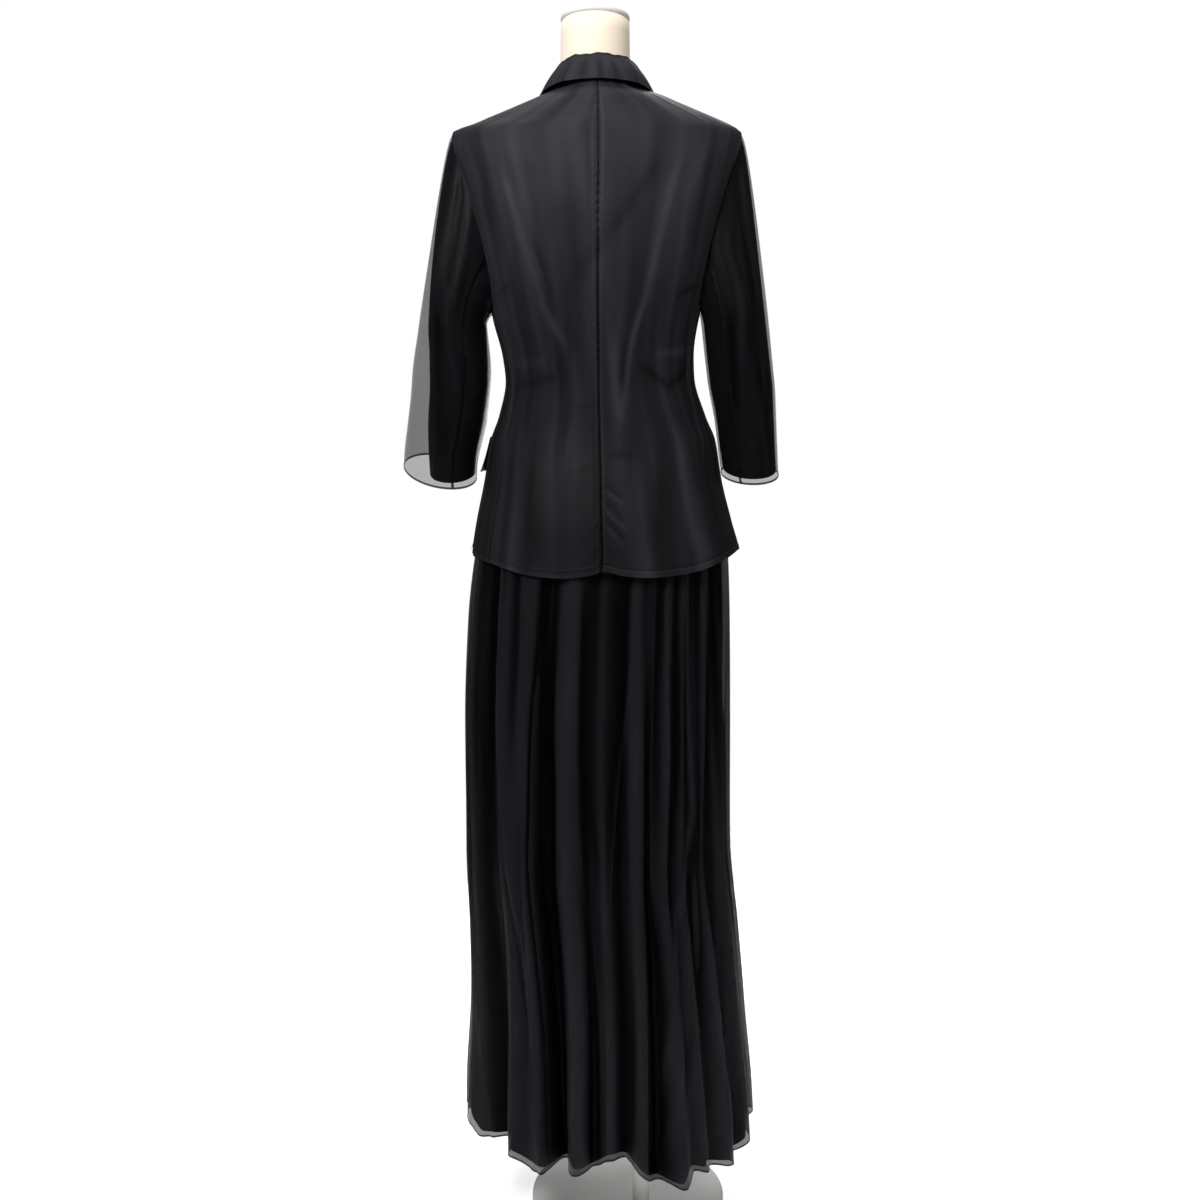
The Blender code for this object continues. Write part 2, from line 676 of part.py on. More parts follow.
def build_button(name, height, gap):
    """A button lying on the right front, square to the cloth under it."""
    places = np.array([height, height - BUTTON_RADIUS, height + BUTTON_RADIUS])
    spot, low, high = jacket_point(np.full(3, 180.0), places, OVERLAP_STEP)
    up = (high - low) / np.linalg.norm(high - low)
    right = np.array([-1.0, 0.0, 0.0])
    out = np.cross(right, up)
    angle = np.arange(16)[:, None] * np.pi / 8
    edge = right * np.cos(angle) + up * np.sin(angle)
    base = spot + out * (WALL / 2 + gap)
    profile = ((0.94, 0.0), (1.0, 0.0008), (1.0, BUTTON_THICK - 0.0008), (0.9, BUTTON_THICK))
    rings = [base + edge * BUTTON_RADIUS * share + out * lift for share, lift in profile]
    loft(name, rings, BLACK, 0.3)


def build_skirt():
    rows = np.array(SKIRT_ROWS)
    first_side, second_side = SIDE_SEAMS
    gap = 0.012
    panels = (
        ("back_left", first_side, BACK_SEAM),
        ("back_right", BACK_SEAM, second_side),
        ("front", second_side, first_side + len(FOLDS)),
    )

    def skirt_sheet(along, up):
        hem = SKIRT_HEM + hem_lift(along)
        return skirt_point(along, hem + (SKIRT_TOP - hem) * up)

    def lining_sheet(along, up):
        hem = LINING_HEM + hem_lift(along)
        z = hem + (SKIRT_TOP - hem) * up
        ease = WAIST_EASE + (LINING_EASE - WAIST_EASE) * ease_in(-z, -SKIRT_TOP, -1.08)
        return skirt_point(along, z, ease)

    for word, start, end in panels:
        edges = np.arange(start, end)
        walk = np.concatenate([[start + gap], edges + 0.2, edges + 0.8, [end - gap]])
        wall(f"skirt_{word}", skirt_sheet, np.sort(walk), rows, SHEER)
        walk = np.concatenate([[start + gap], edges[1:], [end - gap]])
        wall(f"skirt_lining_{word}", lining_sheet, walk, LINING_LEVELS, BLACK)

    def band_sheet(theta, z):
        return body_point(FORM, theta, z, 0.0005 + WAISTBAND_WALL / 2)

    walk = np.arange(FORM_COLUMNS) * 360 / FORM_COLUMNS
    wall(
        "skirt_waistband",
        band_sheet,
        walk,
        (SKIRT_TOP + 0.0008, WAISTBAND_TOP),
        BLACK,
        thick=WAISTBAND_WALL,
        ring=True,
    )


build_form()
build_stand()
build_skirt()
build_jacket_body()
build_sleeves()
build_jacket_trim()
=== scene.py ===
"""The looks of a sheer black skirt suit on a limbless dress form and its stand.

The jacket's back faces -Y and its front +Y, and +X is the wearer's right. A point of
a garment is given by theta, its angle in degrees round the body (0 at the centre
back, 90 at +X, 180 at the centre front, -90 at -X), and its height z in metres.
"""

import math

import bpy
import numpy as np
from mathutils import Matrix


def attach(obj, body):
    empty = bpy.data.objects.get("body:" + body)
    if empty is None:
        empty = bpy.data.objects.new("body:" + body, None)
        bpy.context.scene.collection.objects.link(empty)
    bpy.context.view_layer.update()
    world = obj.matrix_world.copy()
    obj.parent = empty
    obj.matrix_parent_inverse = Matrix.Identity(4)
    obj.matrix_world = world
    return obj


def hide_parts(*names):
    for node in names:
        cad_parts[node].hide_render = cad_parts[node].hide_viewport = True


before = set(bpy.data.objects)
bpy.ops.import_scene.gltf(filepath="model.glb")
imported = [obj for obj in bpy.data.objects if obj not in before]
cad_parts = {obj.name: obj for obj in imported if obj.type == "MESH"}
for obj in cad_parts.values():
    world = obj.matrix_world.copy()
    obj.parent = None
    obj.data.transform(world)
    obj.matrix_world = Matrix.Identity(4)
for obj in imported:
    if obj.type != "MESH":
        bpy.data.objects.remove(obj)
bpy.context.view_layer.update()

# ---------------------------------------------------------------------------------
# The view: a camera at chest height, 1.9 m behind the suit and tipped a little down,
# with the whole suit just filling the frame's height.
camera = bpy.data.cameras.new("view")
camera.lens = 43.5
camera.sensor_width = 36
view = bpy.data.objects.new("view", camera)
view.location = (-0.004, -1.92, 1.196)
view.rotation_euler = (math.radians(80.5), 0, 0)
bpy.context.scene.collection.objects.link(view)
bpy.context.scene.camera = view

# ---------------------------------------------------------------------------------
# The stand's base: a pressed steel disc with a rounded rim and a fine brushed grain.
# It is turned from a profile.
BASE_CENTRE = (0.036, 0.0)
BASE_RADIUS = 0.137
BASE_THICK = 0.015
RIM_ROUND = 0.004


def finished(name, points, faces, material, node, uv=None, painted_shading=None, sharp=50):
    """A piece from points and faces that rides on the part and stands for a node. Its painted shade runs
    from 0 in a trough of the cloth, painted darkest, to 1 on a ridge, painted lightest."""
    mesh = bpy.data.meshes.new(name)
    mesh.from_pydata(np.asarray(points, float).tolist(), [], faces)
    mesh.shade_smooth()
    mesh.set_sharp_from_angle(angle=math.radians(sharp))
    if uv is not None:
        layer = mesh.uv_layers.new(name="cut")
        corners = np.empty(len(mesh.loops), np.int32)
        mesh.loops.foreach_get("vertex_index", corners)
        layer.data.foreach_set("uv", np.asarray(uv, np.float32)[corners].ravel())
    if painted_shading is not None:
        layer = mesh.attributes.new("painted_shading", "FLOAT", "POINT")
        layer.data.foreach_set("value", np.asarray(painted_shading, np.float32))
    mesh.materials.append(material)
    made = bpy.data.objects.new(name, mesh)
    bpy.context.scene.collection.objects.link(made)
    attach(made, "root")
    if node:
        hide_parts(node)
    return made


def joined_rings(rings):
    """Points and faces of a solid through closed rings from the bottom up."""
    count = len(rings[0])
    faces = [tuple(reversed(range(count)))]
    for row in range(len(rings) - 1):
        for column in range(count):
            a = row * count + column
            b = row * count + (column + 1) % count
            faces.append((a, b, b + count, a + count))
    last = (len(rings) - 1) * count
    faces.append(tuple(range(last, last + count)))
    return np.vstack(rings), faces


def round_ring(centre, radius, z, count=96):
    angle = np.arange(count) * 2 * np.pi / count
    x = centre[0] + radius * np.cos(angle)
    y = centre[1] + radius * np.sin(angle)
    return np.stack([x, y, np.full(count, z)], -1)


def finish_shader(name, colour, roughness):
    """A new material, its node tree and its shader, with the plain values set."""
    material = bpy.data.materials.new(name)
    material.use_nodes = True
    tree = material.node_tree
    shader = tree.nodes["Principled BSDF"]
    shader.inputs["Base Color"].default_value = (*colour, 1)
    shader.inputs["Roughness"].default_value = roughness
    return material, tree, shader


def add_node(tree, kind, inputs=(), **settings):
    """A shader node with settings, and each named input set or linked."""
    node = tree.nodes.new(kind)
    for key, value in settings.items():
        setattr(node, key, value)
    for key, value in dict(inputs).items():
        if isinstance(value, bpy.types.NodeSocket):
            tree.links.new(value, node.inputs[key])
        else:
            node.inputs[key].default_value = value
    return node


def tint(tree, shader, amount, low, high):
    """Lets a texture from 0 to 1 run the colour from low to high."""
    ramp = add_node(tree, "ShaderNodeValToRGB", {"Fac": amount})
    ramp.color_ramp.elements[0].color = (*low, 1)
    ramp.color_ramp.elements[1].color = (*high, 1)
    tree.links.new(ramp.outputs["Color"], shader.inputs["Base Color"])
    return ramp


def brushed_steel():
    material, tree, shader = finish_shader("brushed_steel", (0.42, 0.41, 0.40), 0.5)
    shader.inputs["Specular IOR Level"].default_value = 0.3
    place = add_node(tree, "ShaderNodeTexCoord")
    lines = add_node(tree, "ShaderNodeMapping", {"Vector": place.outputs["Object"]})
    lines.inputs["Scale"].default_value = (60, 900, 60)
    grain = add_node(
        tree,
        "ShaderNodeTexNoise",
        {"Vector": lines.outputs["Vector"], "Scale": 1.0, "Detail": 4.0},
    )
    tint(tree, shader, grain.outputs["Fac"], (0.44, 0.43, 0.42), (0.56, 0.55, 0.53))
    bump = add_node(
        tree,
        "ShaderNodeBump",
        {"Height": grain.outputs["Fac"], "Strength": 0.2, "Distance": 0.0002},
    )
    tree.links.new(bump.outputs["Normal"], shader.inputs["Normal"])
    return material


def build_base():
    rings = [
        round_ring(BASE_CENTRE, BASE_RADIUS - 0.0015, 0.0),
        round_ring(BASE_CENTRE, BASE_RADIUS, 0.0015),
    ]
    for angle in np.radians(np.linspace(0, 90, 7)):
        radius = BASE_RADIUS - RIM_ROUND * (1 - math.cos(angle))
        z = BASE_THICK - RIM_ROUND * (1 - math.sin(angle))
        rings.append(round_ring(BASE_CENTRE, radius, z))
    points, faces = joined_rings(rings)
    finished("base_disc", points, faces, brushed_steel(), "stand_base", sharp=40)


build_base()

# ---------------------------------------------------------------------------------
# The pole: a painted steel tube that stands straight on the base, behind the form's
# middle and to one side, and ends just under the form.
POLE_CENTRE = (0.054, -0.030)
POLE_RADIUS = 0.0118
POLE_TOP = 0.7347  # 0.3 mm under the form's lower end
POLE_FOOT = BASE_THICK + 0.0003


def painted_steel():
    material, tree, shader = finish_shader("painted_steel", (0.80, 0.78, 0.74), 0.42)
    shader.inputs["Coat Weight"].default_value = 0.2
    place = add_node(tree, "ShaderNodeTexCoord")
    peel = add_node(
        tree,
        "ShaderNodeTexNoise",
        {"Vector": place.outputs["Object"], "Scale": 420.0, "Detail": 2.0},
    )
    tint(tree, shader, peel.outputs["Fac"], (0.77, 0.75, 0.71), (0.83, 0.81, 0.77))
    bump = add_node(
        tree,
        "ShaderNodeBump",
        {"Height": peel.outputs["Fac"], "Strength": 0.12, "Distance": 0.0002},
    )
    tree.links.new(bump.outputs["Normal"], shader.inputs["Normal"])
    return material


def build_pole():
    heights = (
        (POLE_RADIUS - 0.0005, POLE_FOOT),
        (POLE_RADIUS, POLE_FOOT + 0.0005),
        (POLE_RADIUS, POLE_TOP - 0.0005),
        (POLE_RADIUS - 0.0005, POLE_TOP),
    )
    rings = [round_ring(POLE_CENTRE, radius, z, 48) for radius, z in heights]
    points, faces = joined_rings(rings)
    finished("pole_tube", points, faces, painted_steel(), "stand_pole")


build_pole()

# ---------------------------------------------------------------------------------
# The dress form: a moulded torso with a cream jersey cover pulled tight over it. Rows
# are height, centre x, half width, depth to the back, depth to the front, and the
# power of the superellipse (2 is an ellipse, more is squarer).
FORM = (
    (0.735, 0.000, 0.116, 0.072, 0.064, 2.10),
    (0.748, 0.000, 0.132, 0.086, 0.076, 2.10),
    (0.790, -0.002, 0.142, 0.094, 0.083, 2.10),
    (0.870, -0.003, 0.148, 0.098, 0.086, 2.10),
    (0.950, -0.001, 0.146, 0.097, 0.086, 2.10),
    (1.036, 0.000, 0.131, 0.086, 0.0825, 2.15),
    (1.100, -0.002, 0.120, 0.077, 0.080, 2.15),
    (1.165, -0.004, 0.1155, 0.0785, 0.0855, 2.15),
    (1.195, -0.004, 0.1155, 0.0785, 0.0855, 2.15),
    (1.245, -0.008, 0.123, 0.086, 0.101, 2.20),
    (1.300, -0.008, 0.134, 0.096, 0.112, 2.25),
    (1.370, -0.008, 0.148, 0.100, 0.104, 2.30),
    (1.425, -0.008, 0.161, 0.094, 0.083, 2.35),
    (1.451, -0.008, 0.171, 0.087, 0.067, 2.40),
    (1.468, -0.008, 0.178, 0.082, 0.058, 2.40),
    (1.483, -0.003, 0.1590, 0.079, 0.054, 2.40),
    (1.498, -0.002, 0.1245, 0.074, 0.048, 2.35),
    (1.512, -0.002, 0.0850, 0.066, 0.039, 2.25),
    (1.526, -0.008, 0.0520, 0.053, 0.036, 2.10),
    (1.550, -0.010, 0.0445, 0.0445, 0.0425, 2.00),
    (1.590, -0.010, 0.0435, 0.0435, 0.0425, 2.00),
    (1.640, -0.010, 0.0430, 0.0430, 0.0425, 2.00),
)
NECK_TOP = 1.611
NECK_SLANT = 0.14  # the neck's end drops by this part of the way to the front
CAP_THICK = 0.008
FORM_COLUMNS = 128


def read(rows, at):
    """Each column of a table at the places given, on a smooth curve through its rows
    that never overshoots them."""
    table = np.array(rows, float)
    steps = np.diff(table[:, 0])[:, None]
    rise = np.diff(table[:, 1:], axis=0) / steps
    before, after = rise[:-1], rise[1:]
    same_way = before * after > 0
    total = np.where(same_way, before + after, 1)
    inner = np.where(same_way, 2 * before * after / total, 0)
    slopes = np.vstack([rise[:1], inner, rise[-1:]])
    at = np.asarray(at, float)
    low = np.clip(np.searchsorted(table[:, 0], at, side="right") - 1, 0, len(table) - 2)
    span = table[low + 1, 0] - table[low, 0]
    t = ((at - table[low, 0]) / span)[..., None]
    span = span[..., None]
    value = (
        (2 * t**3 - 3 * t**2 + 1) * table[low, 1:]
        + (t**3 - 2 * t**2 + t) * span * slopes[low]
        + (3 * t**2 - 2 * t**3) * table[low + 1, 1:]
        + (t**3 - t**2) * span * slopes[low + 1]
    )
    return np.moveaxis(value, -1, 0)


def ease_in(value, start, end):
    """0 before start, 1 after end, and a smooth step between them."""
    t = np.clip((value - start) / (end - start), 0, 1)
    return t * t * (3 - 2 * t)


def body_point(rows, theta, z, out=0.0):
    """The point of a body at angle theta and height z, moved out by out."""
    centre, half, back, front, power = read(rows, z)
    side = np.sin(np.radians(theta))
    rear = np.cos(np.radians(theta))
    depth = np.where(rear > 0, back, front) + out
    x = centre + (half + out) * np.sign(side) * np.abs(side) ** (2 / power)
    y = -depth * np.sign(rear) * np.abs(rear) ** (2 / power)
    return np.stack([x, y, z + 0 * x], -1)


def on_neck_end(points, up):
    """The ring laid on the slanting end of the neck, raised by up."""
    points = points.copy()
    points[:, 2] = NECK_TOP - NECK_SLANT * points[:, 1] + up
    return points


def form_jersey():
    material, tree, shader = finish_shader("cream_jersey", (0.84, 0.73, 0.59), 0.85)
    shader.inputs["Sheen Weight"].default_value = 0.25
    shader.inputs["Specular IOR Level"].default_value = 0.25
    place = add_node(tree, "ShaderNodeTexCoord")
    cloud = add_node(
        tree,
        "ShaderNodeTexNoise",
        {"Vector": place.outputs["Object"], "Scale": 9.0, "Detail": 3.0},
    )
    tint(tree, shader, cloud.outputs["Fac"], (0.80, 0.69, 0.55), (0.86, 0.75, 0.61))
    ribs = add_node(
        tree,
        "ShaderNodeTexVoronoi",
        {"Vector": place.outputs["Object"], "Scale": 900.0},
    )
    bump = add_node(
        tree,
        "ShaderNodeBump",
        {"Height": ribs.outputs["Distance"], "Strength": 0.25, "Distance": 0.0002},
    )
    tree.links.new(bump.outputs["Normal"], shader.inputs["Normal"])
    return material


def cap_plastic():
    material, tree, shader = finish_shader("cap_plastic", (0.74, 0.73, 0.70), 0.45)
    place = add_node(tree, "ShaderNodeTexCoord")
    cloud = add_node(
        tree,
        "ShaderNodeTexNoise",
        {"Vector": place.outputs["Object"], "Scale": 40.0, "Detail": 3.0},
    )
    tint(tree, shader, cloud.outputs["Fac"], (0.72, 0.71, 0.68), (0.77, 0.76, 0.73))
    return material


def build_form():
    theta = np.arange(FORM_COLUMNS) * 360 / FORM_COLUMNS
    heights = np.concatenate(
        [[0.735, 0.7375, 0.741], np.arange(0.748, 1.598, 0.010), [1.598]]
    )
    rings = [body_point(FORM, theta, np.full(FORM_COLUMNS, z)) for z in heights]
    top = body_point(FORM, theta, np.full(FORM_COLUMNS, NECK_TOP))
    middle = top.mean(axis=0)
    rings.append(on_neck_end(top, -0.0015))
    rings.append(on_neck_end(middle + (top - middle) * 0.97, 0))
    points, faces = joined_rings(rings)
    finished("form_body", points, faces, form_jersey(), "form_torso")
    cap = []
    edge = ((0.955, 0.0003), (0.985, 0.0012), (1.0, 0.0026), (1.0, 0.0056))
    crown = ((0.985, 0.0070), (0.95, 0.0077), (0.80, CAP_THICK), (0.4, CAP_THICK))
    for share, up in edge + crown:
        cap.append(on_neck_end(middle + (top - middle) * share, up))
    points, faces = joined_rings(cap)
    finished("neck_cap", points, faces, cap_plastic(), "form_neck_cap")


build_form()

# ---------------------------------------------------------------------------------
# The skirt's lining: three panels of smooth black lining cloth that hang from the
# waistband inside the sheer skirt, follow its folds more softly and end a little
# above its hem.
# Rows of the skirt's body, as the form's rows
SKIRT = (
    (0.100, 0.009, 0.200, 0.150, 0.142, 2.00),
    (0.183, 0.007, 0.197, 0.146, 0.138, 2.00),
    (0.304, 0.005, 0.188, 0.141, 0.131, 2.00),
    (0.422, 0.000, 0.183, 0.136, 0.124, 2.00),
    (0.540, -0.007, 0.179, 0.132, 0.119, 2.00),
    (0.709, -0.008, 0.178, 0.128, 0.114, 2.05),
    (0.850, -0.005, 0.174, 0.125, 0.111, 2.05),
    (0.930, -0.002, 0.168, 0.121, 0.106, 2.10),
    (0.985, 0.001, 0.160, 0.115, 0.101, 2.10),
    (1.036, 0.000, 0.149, 0.104, 0.097, 2.15),
    (1.089, 0.000, 0.138, 0.091, 0.094, 2.15),
    (1.130, -0.002, 0.125, 0.085, 0.091, 2.15),
    (1.165, -0.004, 0.1190, 0.0820, 0.0890, 2.15),
)
# Edges of the skirt's folds, going once round: its angle under the jacket's hem, at
# knee height and at the hem, and how far it stands out there, in millimetres
FOLD_HEIGHTS = (0.86, 0.53, 0.20)
FOLDS = (
    (-92, -92, -93, 0, -3, -6),
    (-82, -83, -80, 1, 1, 3),
    (-72, -74, -67, 3, 5, 10),
    (-62, -63, -57, 0, -1, -4),
    (-52, -54, -48, -3, -6, -20),
    (-42, -40, -39, 4, 8, 14),
    (-37, -35, -33, 0, 3, 5),
    (-28, -31, -26, 5, 9, 16),
    (-19, -23, -20, -7, -18, -25),
    (-10, -12, -12, 5, 9, 15),
    (-2, -5, -5, -1, -4, -7),
    (5, 3, 1, -1, 2, 6),
    (11, 9, 7, -3, -5, -8),
    (19, 17, 14, 3, 6, 11),
    (25, 23, 21, -3, -10, -13),
    (30, 29, 28, 3, 4, 15),
    (33, 33, 34, 0, -2, 3),
    (37, 37, 38, 3, 5, 13),
    (41, 41, 44, -2, -2, -3),
    (49, 47, 52, 5, 9, 13),
    (57, 53, 58, -6, -8, -15),
    (70, 66, 68, 3, 6, 10),
    (80, 77, 76, -2, -4, -6),
    (94, 92, 91, 2, 4, 7),
    (106, 105, 104, -3, -7, -14),
    (118, 119, 118, 4, 8, 13),
    (130, 131, 130, -3, -8, -15),
    (143, 141, 143, 4, 9, 14),
    (155, 155, 154, -2, -6, -12),
    (166, 167, 168, 3, 8, 15),
    (178, 180, 181, -3, -9, -16),
    (191, 192, 193, 4, 8, 12),
    (203, 202, 203, -3, -5, -10),
    (214, 215, 217, 3, 9, 16),
    (226, 228, 229, -4, -9, -17),
    (238, 239, 240, 3, 7, 12),
    (249, 249, 250, -2, -5, -11),
    (259, 260, 259, 2, 5, 9),
)
# How far the skirt's hem is drawn up, by its angle there, in millimetres
HEM_LIFT = (
    (-93, 12),
    (-80, 26),
    (-70, 29),
    (-66, 26),
    (-62, 15),
    (-57, 17),
    (-50, 20),
    (-38, 14),
    (-32, 3),
    (-16, 6),
    (-5, 9),
    (1, 25),
    (7, 20),
    (14, -2),
    (21, -18),
    (28, -22),
    (34, -6),
    (44, -11),
    (58, -15),
    (68, -2),
    (76, 15),
    (91, 12),
    (105, 4),
    (180, 0),
    (267, 12),
)
SKIRT_TOP = 1.165
SKIRT_HEM = 0.126
LINING_HEM = 0.1305
LINING_EASE = 0.0042  # the lining hangs this far inside the skirt
LINING_FILL = 0.85  # and fills its ridges to this part of their height
SIDE_GAP = 0.010  # the sheer skirt stands off this much more at the right hip
WAIST_EASE = 0.0017  # the lining hangs this far inside at the waistband
SIDE_SEAMS = (0, 23)  # the edges in FOLDS that lie on the skirt's side seams
BACK_SEAM = 12  # the edge that lies on its centre back seam
SKIRT_PANELS = (
    ("back_left", SIDE_SEAMS[0], BACK_SEAM),
    ("back_right", BACK_SEAM, SIDE_SEAMS[1]),
    ("front", SIDE_SEAMS[1], SIDE_SEAMS[0] + len(FOLDS)),
)
SEAM_GAP = 0.001  # half the gap at a seam, as a part of a fold
# Painted light and shade on the skirt, its colour darker or lighter by its angle round the body: angle, and
# tone
SKIRT_PAINTED_LIGHT = (
    (-100, -0.6),
    (-62, -0.7),
    (-46, -0.9),
    (-33, -0.7),
    (-22, -0.1),
    (-14, 0.1),
    (-4, -0.6),
    (10, -0.7),
    (20, -0.2),
    (45, -0.2),
    (62, -0.6),
    (92, -0.5),
    (180, -0.3),
    (267, -0.6),
)
# The painted shade's scale: how many millimetres of relief take the colour from mid tone to its darkest or
# lightest.
PAINTED_SHADE_SPAN = 1.6  # millimetres of relief over which cloth goes from mid tone to full
FOLD_SIZE = ((0.10, 10.0), (0.53, 7.0), (0.86, 3.8), (1.20, 3.8))  # at each height, mm
LINING_THICK = 0.0006


def fold_edges():
    """The table of folds, repeated on both sides so that it runs on all the way round."""
    table = np.array(FOLDS, float)
    turn = np.array([360, 360, 360, 0, 0, 0])
    return np.vstack([table - turn, table, table + turn])


def skirt_place(along, z):
    """The angle of a place counted along FOLDS, and how far its fold stands out."""
    table = fold_edges()
    place = np.asarray(along, float) + len(FOLDS)
    low = np.clip(np.floor(place).astype(int), 0, len(table) - 2)
    part = place - low
    top, knee, hem = FOLD_HEIGHTS
    down_knee = np.clip((top - z) / (top - knee), 0, 1)
    down_hem = np.clip((knee - z) / (knee - hem), 0, 1.15)
    height_part = (0.5 - 0.5 * np.cos(np.pi * part))[..., None]
    numbered = np.column_stack([np.arange(len(table)), table[:, :3]])
    angles = np.moveaxis(read(numbered, place), 0, -1)
    heights = table[low, 3:] * (1 - height_part) + table[low + 1, 3:] * height_part

    def over_height(values):
        to_knee = values[..., 0] + (values[..., 1] - values[..., 0]) * down_knee
        return to_knee + (values[..., 2] - values[..., 1]) * down_hem

    stand = over_height(heights) / 1000 * ease_in(-z, -SKIRT_TOP, -FOLD_HEIGHTS[0])
    return over_height(angles), stand


def hem_lift(along):
    """How far the skirt's hem is drawn up at places counted along FOLDS."""
    edges = fold_edges()[:, 2]
    angle = read(np.column_stack([np.arange(len(edges)), edges]), along + len(FOLDS))[0]
    return read(HEM_LIFT, angle)[0] / 1000


def creases(lines, across, height, mm_each, soft):
    """Soft ridges and troughs, in metres. A line is its height in millimetres (less
    than nothing for a trough), its half width in millimetres, and its places from the
    top down. mm_each is the size of one step across, and soft how far its ends fade."""
    total = 0 * across
    for lift, wide, places in lines:
        places = np.array(places[::-1], float)
        low, high = places[0, 1], places[-1, 1]
        middle = np.interp(height, places[:, 1], places[:, 0])
        fade = ease_in(height, low - soft, low + soft)
        fade = fade * (1 - ease_in(height, high - soft, high + soft))
        offset = (across - middle) * mm_each / wide
        total = total + lift / 1000 * fade * np.exp(-(offset**2))
    return total


def shell(
    name, sheet, across, up, thick, material, node=None, relief=None, lift=0.0, painted_shading=None
):
    """A closed thin shell of cloth on a sheet, which maps a place across and a place
    up to a point. relief gives how far the cloth stands off it, and lift adds to it.
    The colour stores painted shade that follows the relief, darker in its troughs and lighter on its
    ridges, and a function passed for it adds millimetres above or below the even cloth."""
    u, v = np.meshgrid(across, up)
    middle = sheet(u, v)
    # Painted shade: the relief's height, scaled, is stored to darken the colour in troughs and lighten it
    # on ridges.
    stand = 0 * u if relief is None else relief(u, v)
    shade = 1000 * stand
    if painted_shading is not None:
        shade = shade + painted_shading(u, v)
    shade = (0.5 + 0.5 * np.tanh(shade / PAINTED_SHADE_SPAN)).ravel()

    def normals(grid):
        normal = np.cross(np.gradient(grid, axis=1), np.gradient(grid, axis=0))
        return normal / np.linalg.norm(normal, axis=-1, keepdims=True)

    middle = middle + normals(middle) * (lift + stand[..., None])
    normal = normals(middle)
    rows, columns = u.shape
    size = rows * columns
    outer = (middle + normal * thick / 2).reshape(-1, 3)
    inner = (middle - normal * thick / 2).reshape(-1, 3)
    index = np.arange(size).reshape(rows, columns)
    a, b = index[:-1, :-1].ravel(), index[:-1, 1:].ravel()
    c, d = index[1:, 1:].ravel(), index[1:, :-1].ravel()
    faces = [np.stack([a, b, c, d], -1), size + np.stack([d, c, b, a], -1)]
    for edge in (index[0], index[:, -1], index[-1, ::-1], index[::-1, 0]):
        near, far = edge[:-1], edge[1:]
        faces.append(np.stack([size + near, size + far, far, near], -1))
    wide = np.linalg.norm(np.diff(middle, axis=1), axis=-1).mean(axis=0)
    tall = np.linalg.norm(np.diff(middle, axis=0), axis=-1).mean(axis=1)
    cut_u, cut_v = np.meshgrid(np.append(0, np.cumsum(wide)), np.append(0, np.cumsum(tall)))
    uv = np.stack([cut_u.ravel(), cut_v.ravel()], -1)
    return finished(
        name,
        np.vstack([outer, inner]),
        np.vstack(faces).tolist(),
        material,
        node,
        uv=np.vstack([uv, uv]),
        painted_shading=np.concatenate([shade, shade]),
        sharp=60,
    )


def cloth_finish(name, colour, shade, depth, roughness, gloss, alpha=1.0, grain=0.3):
    """Black cloth: shade is how far its colour drifts, depth how much darker its colour is painted in a
    trough and lighter on a ridge (painted shade and painted light), gloss its specular level, and grain the
    strength of its thread, which runs up the cut of each piece."""
    material, tree, shader = finish_shader(name, colour, roughness)
    shader.inputs["Specular IOR Level"].default_value = gloss
    shader.inputs["Alpha"].default_value = alpha
    cut = add_node(tree, "ShaderNodeUVMap", uv_map="cut")
    along = add_node(tree, "ShaderNodeMapping", {"Vector": cut.outputs["UV"]})
    along.inputs["Scale"].default_value = (14, 5, 1)
    cloud = add_node(
        tree,
        "ShaderNodeTexNoise",
        {"Vector": along.outputs["Vector"], "Scale": 1.0, "Detail": 4.0},
    )
    low = tuple(value * (1 - shade) for value in colour)
    high = tuple(value * (1 + shade) for value in colour)
    ramp = tint(tree, shader, cloud.outputs["Fac"], low, high)
    ramp.color_ramp.elements[0].position = 0.3
    ramp.color_ramp.elements[1].position = 0.7
    # Painted shade and light: the stored attribute darkens the colour in troughs and lightens it on ridges.
    height = add_node(tree, "ShaderNodeAttribute", attribute_name="painted_shading")
    span = {"Value": height.outputs["Fac"], "To Min": 1 - depth, "To Max": 1 + depth}
    level = add_node(tree, "ShaderNodeMapRange", span)
    painted_shade_colour = add_node(
        tree,
        "ShaderNodeVectorMath",
        {0: ramp.outputs["Color"], "Scale": level.outputs["Result"]},
        operation="SCALE",
    )
    tree.links.new(painted_shade_colour.outputs["Vector"], shader.inputs["Base Color"])
    threads = add_node(tree, "ShaderNodeMapping", {"Vector": cut.outputs["UV"]})
    threads.inputs["Scale"].default_value = (900, 130, 1)
    slub = add_node(
        tree,
        "ShaderNodeTexNoise",
        {"Vector": threads.outputs["Vector"], "Scale": 1.0, "Detail": 3.0},
    )
    bump = add_node(
        tree,
        "ShaderNodeBump",
        {"Height": slub.outputs["Fac"], "Strength": grain, "Distance": 0.0003},
    )
    tree.links.new(bump.outputs["Normal"], shader.inputs["Normal"])
    return material


lining_cloth = cloth_finish(
    "lining_cloth", (0.0044, 0.0044, 0.0055), 0.15, 0.95, roughness=0.38, gloss=0.045, grain=0.15
)


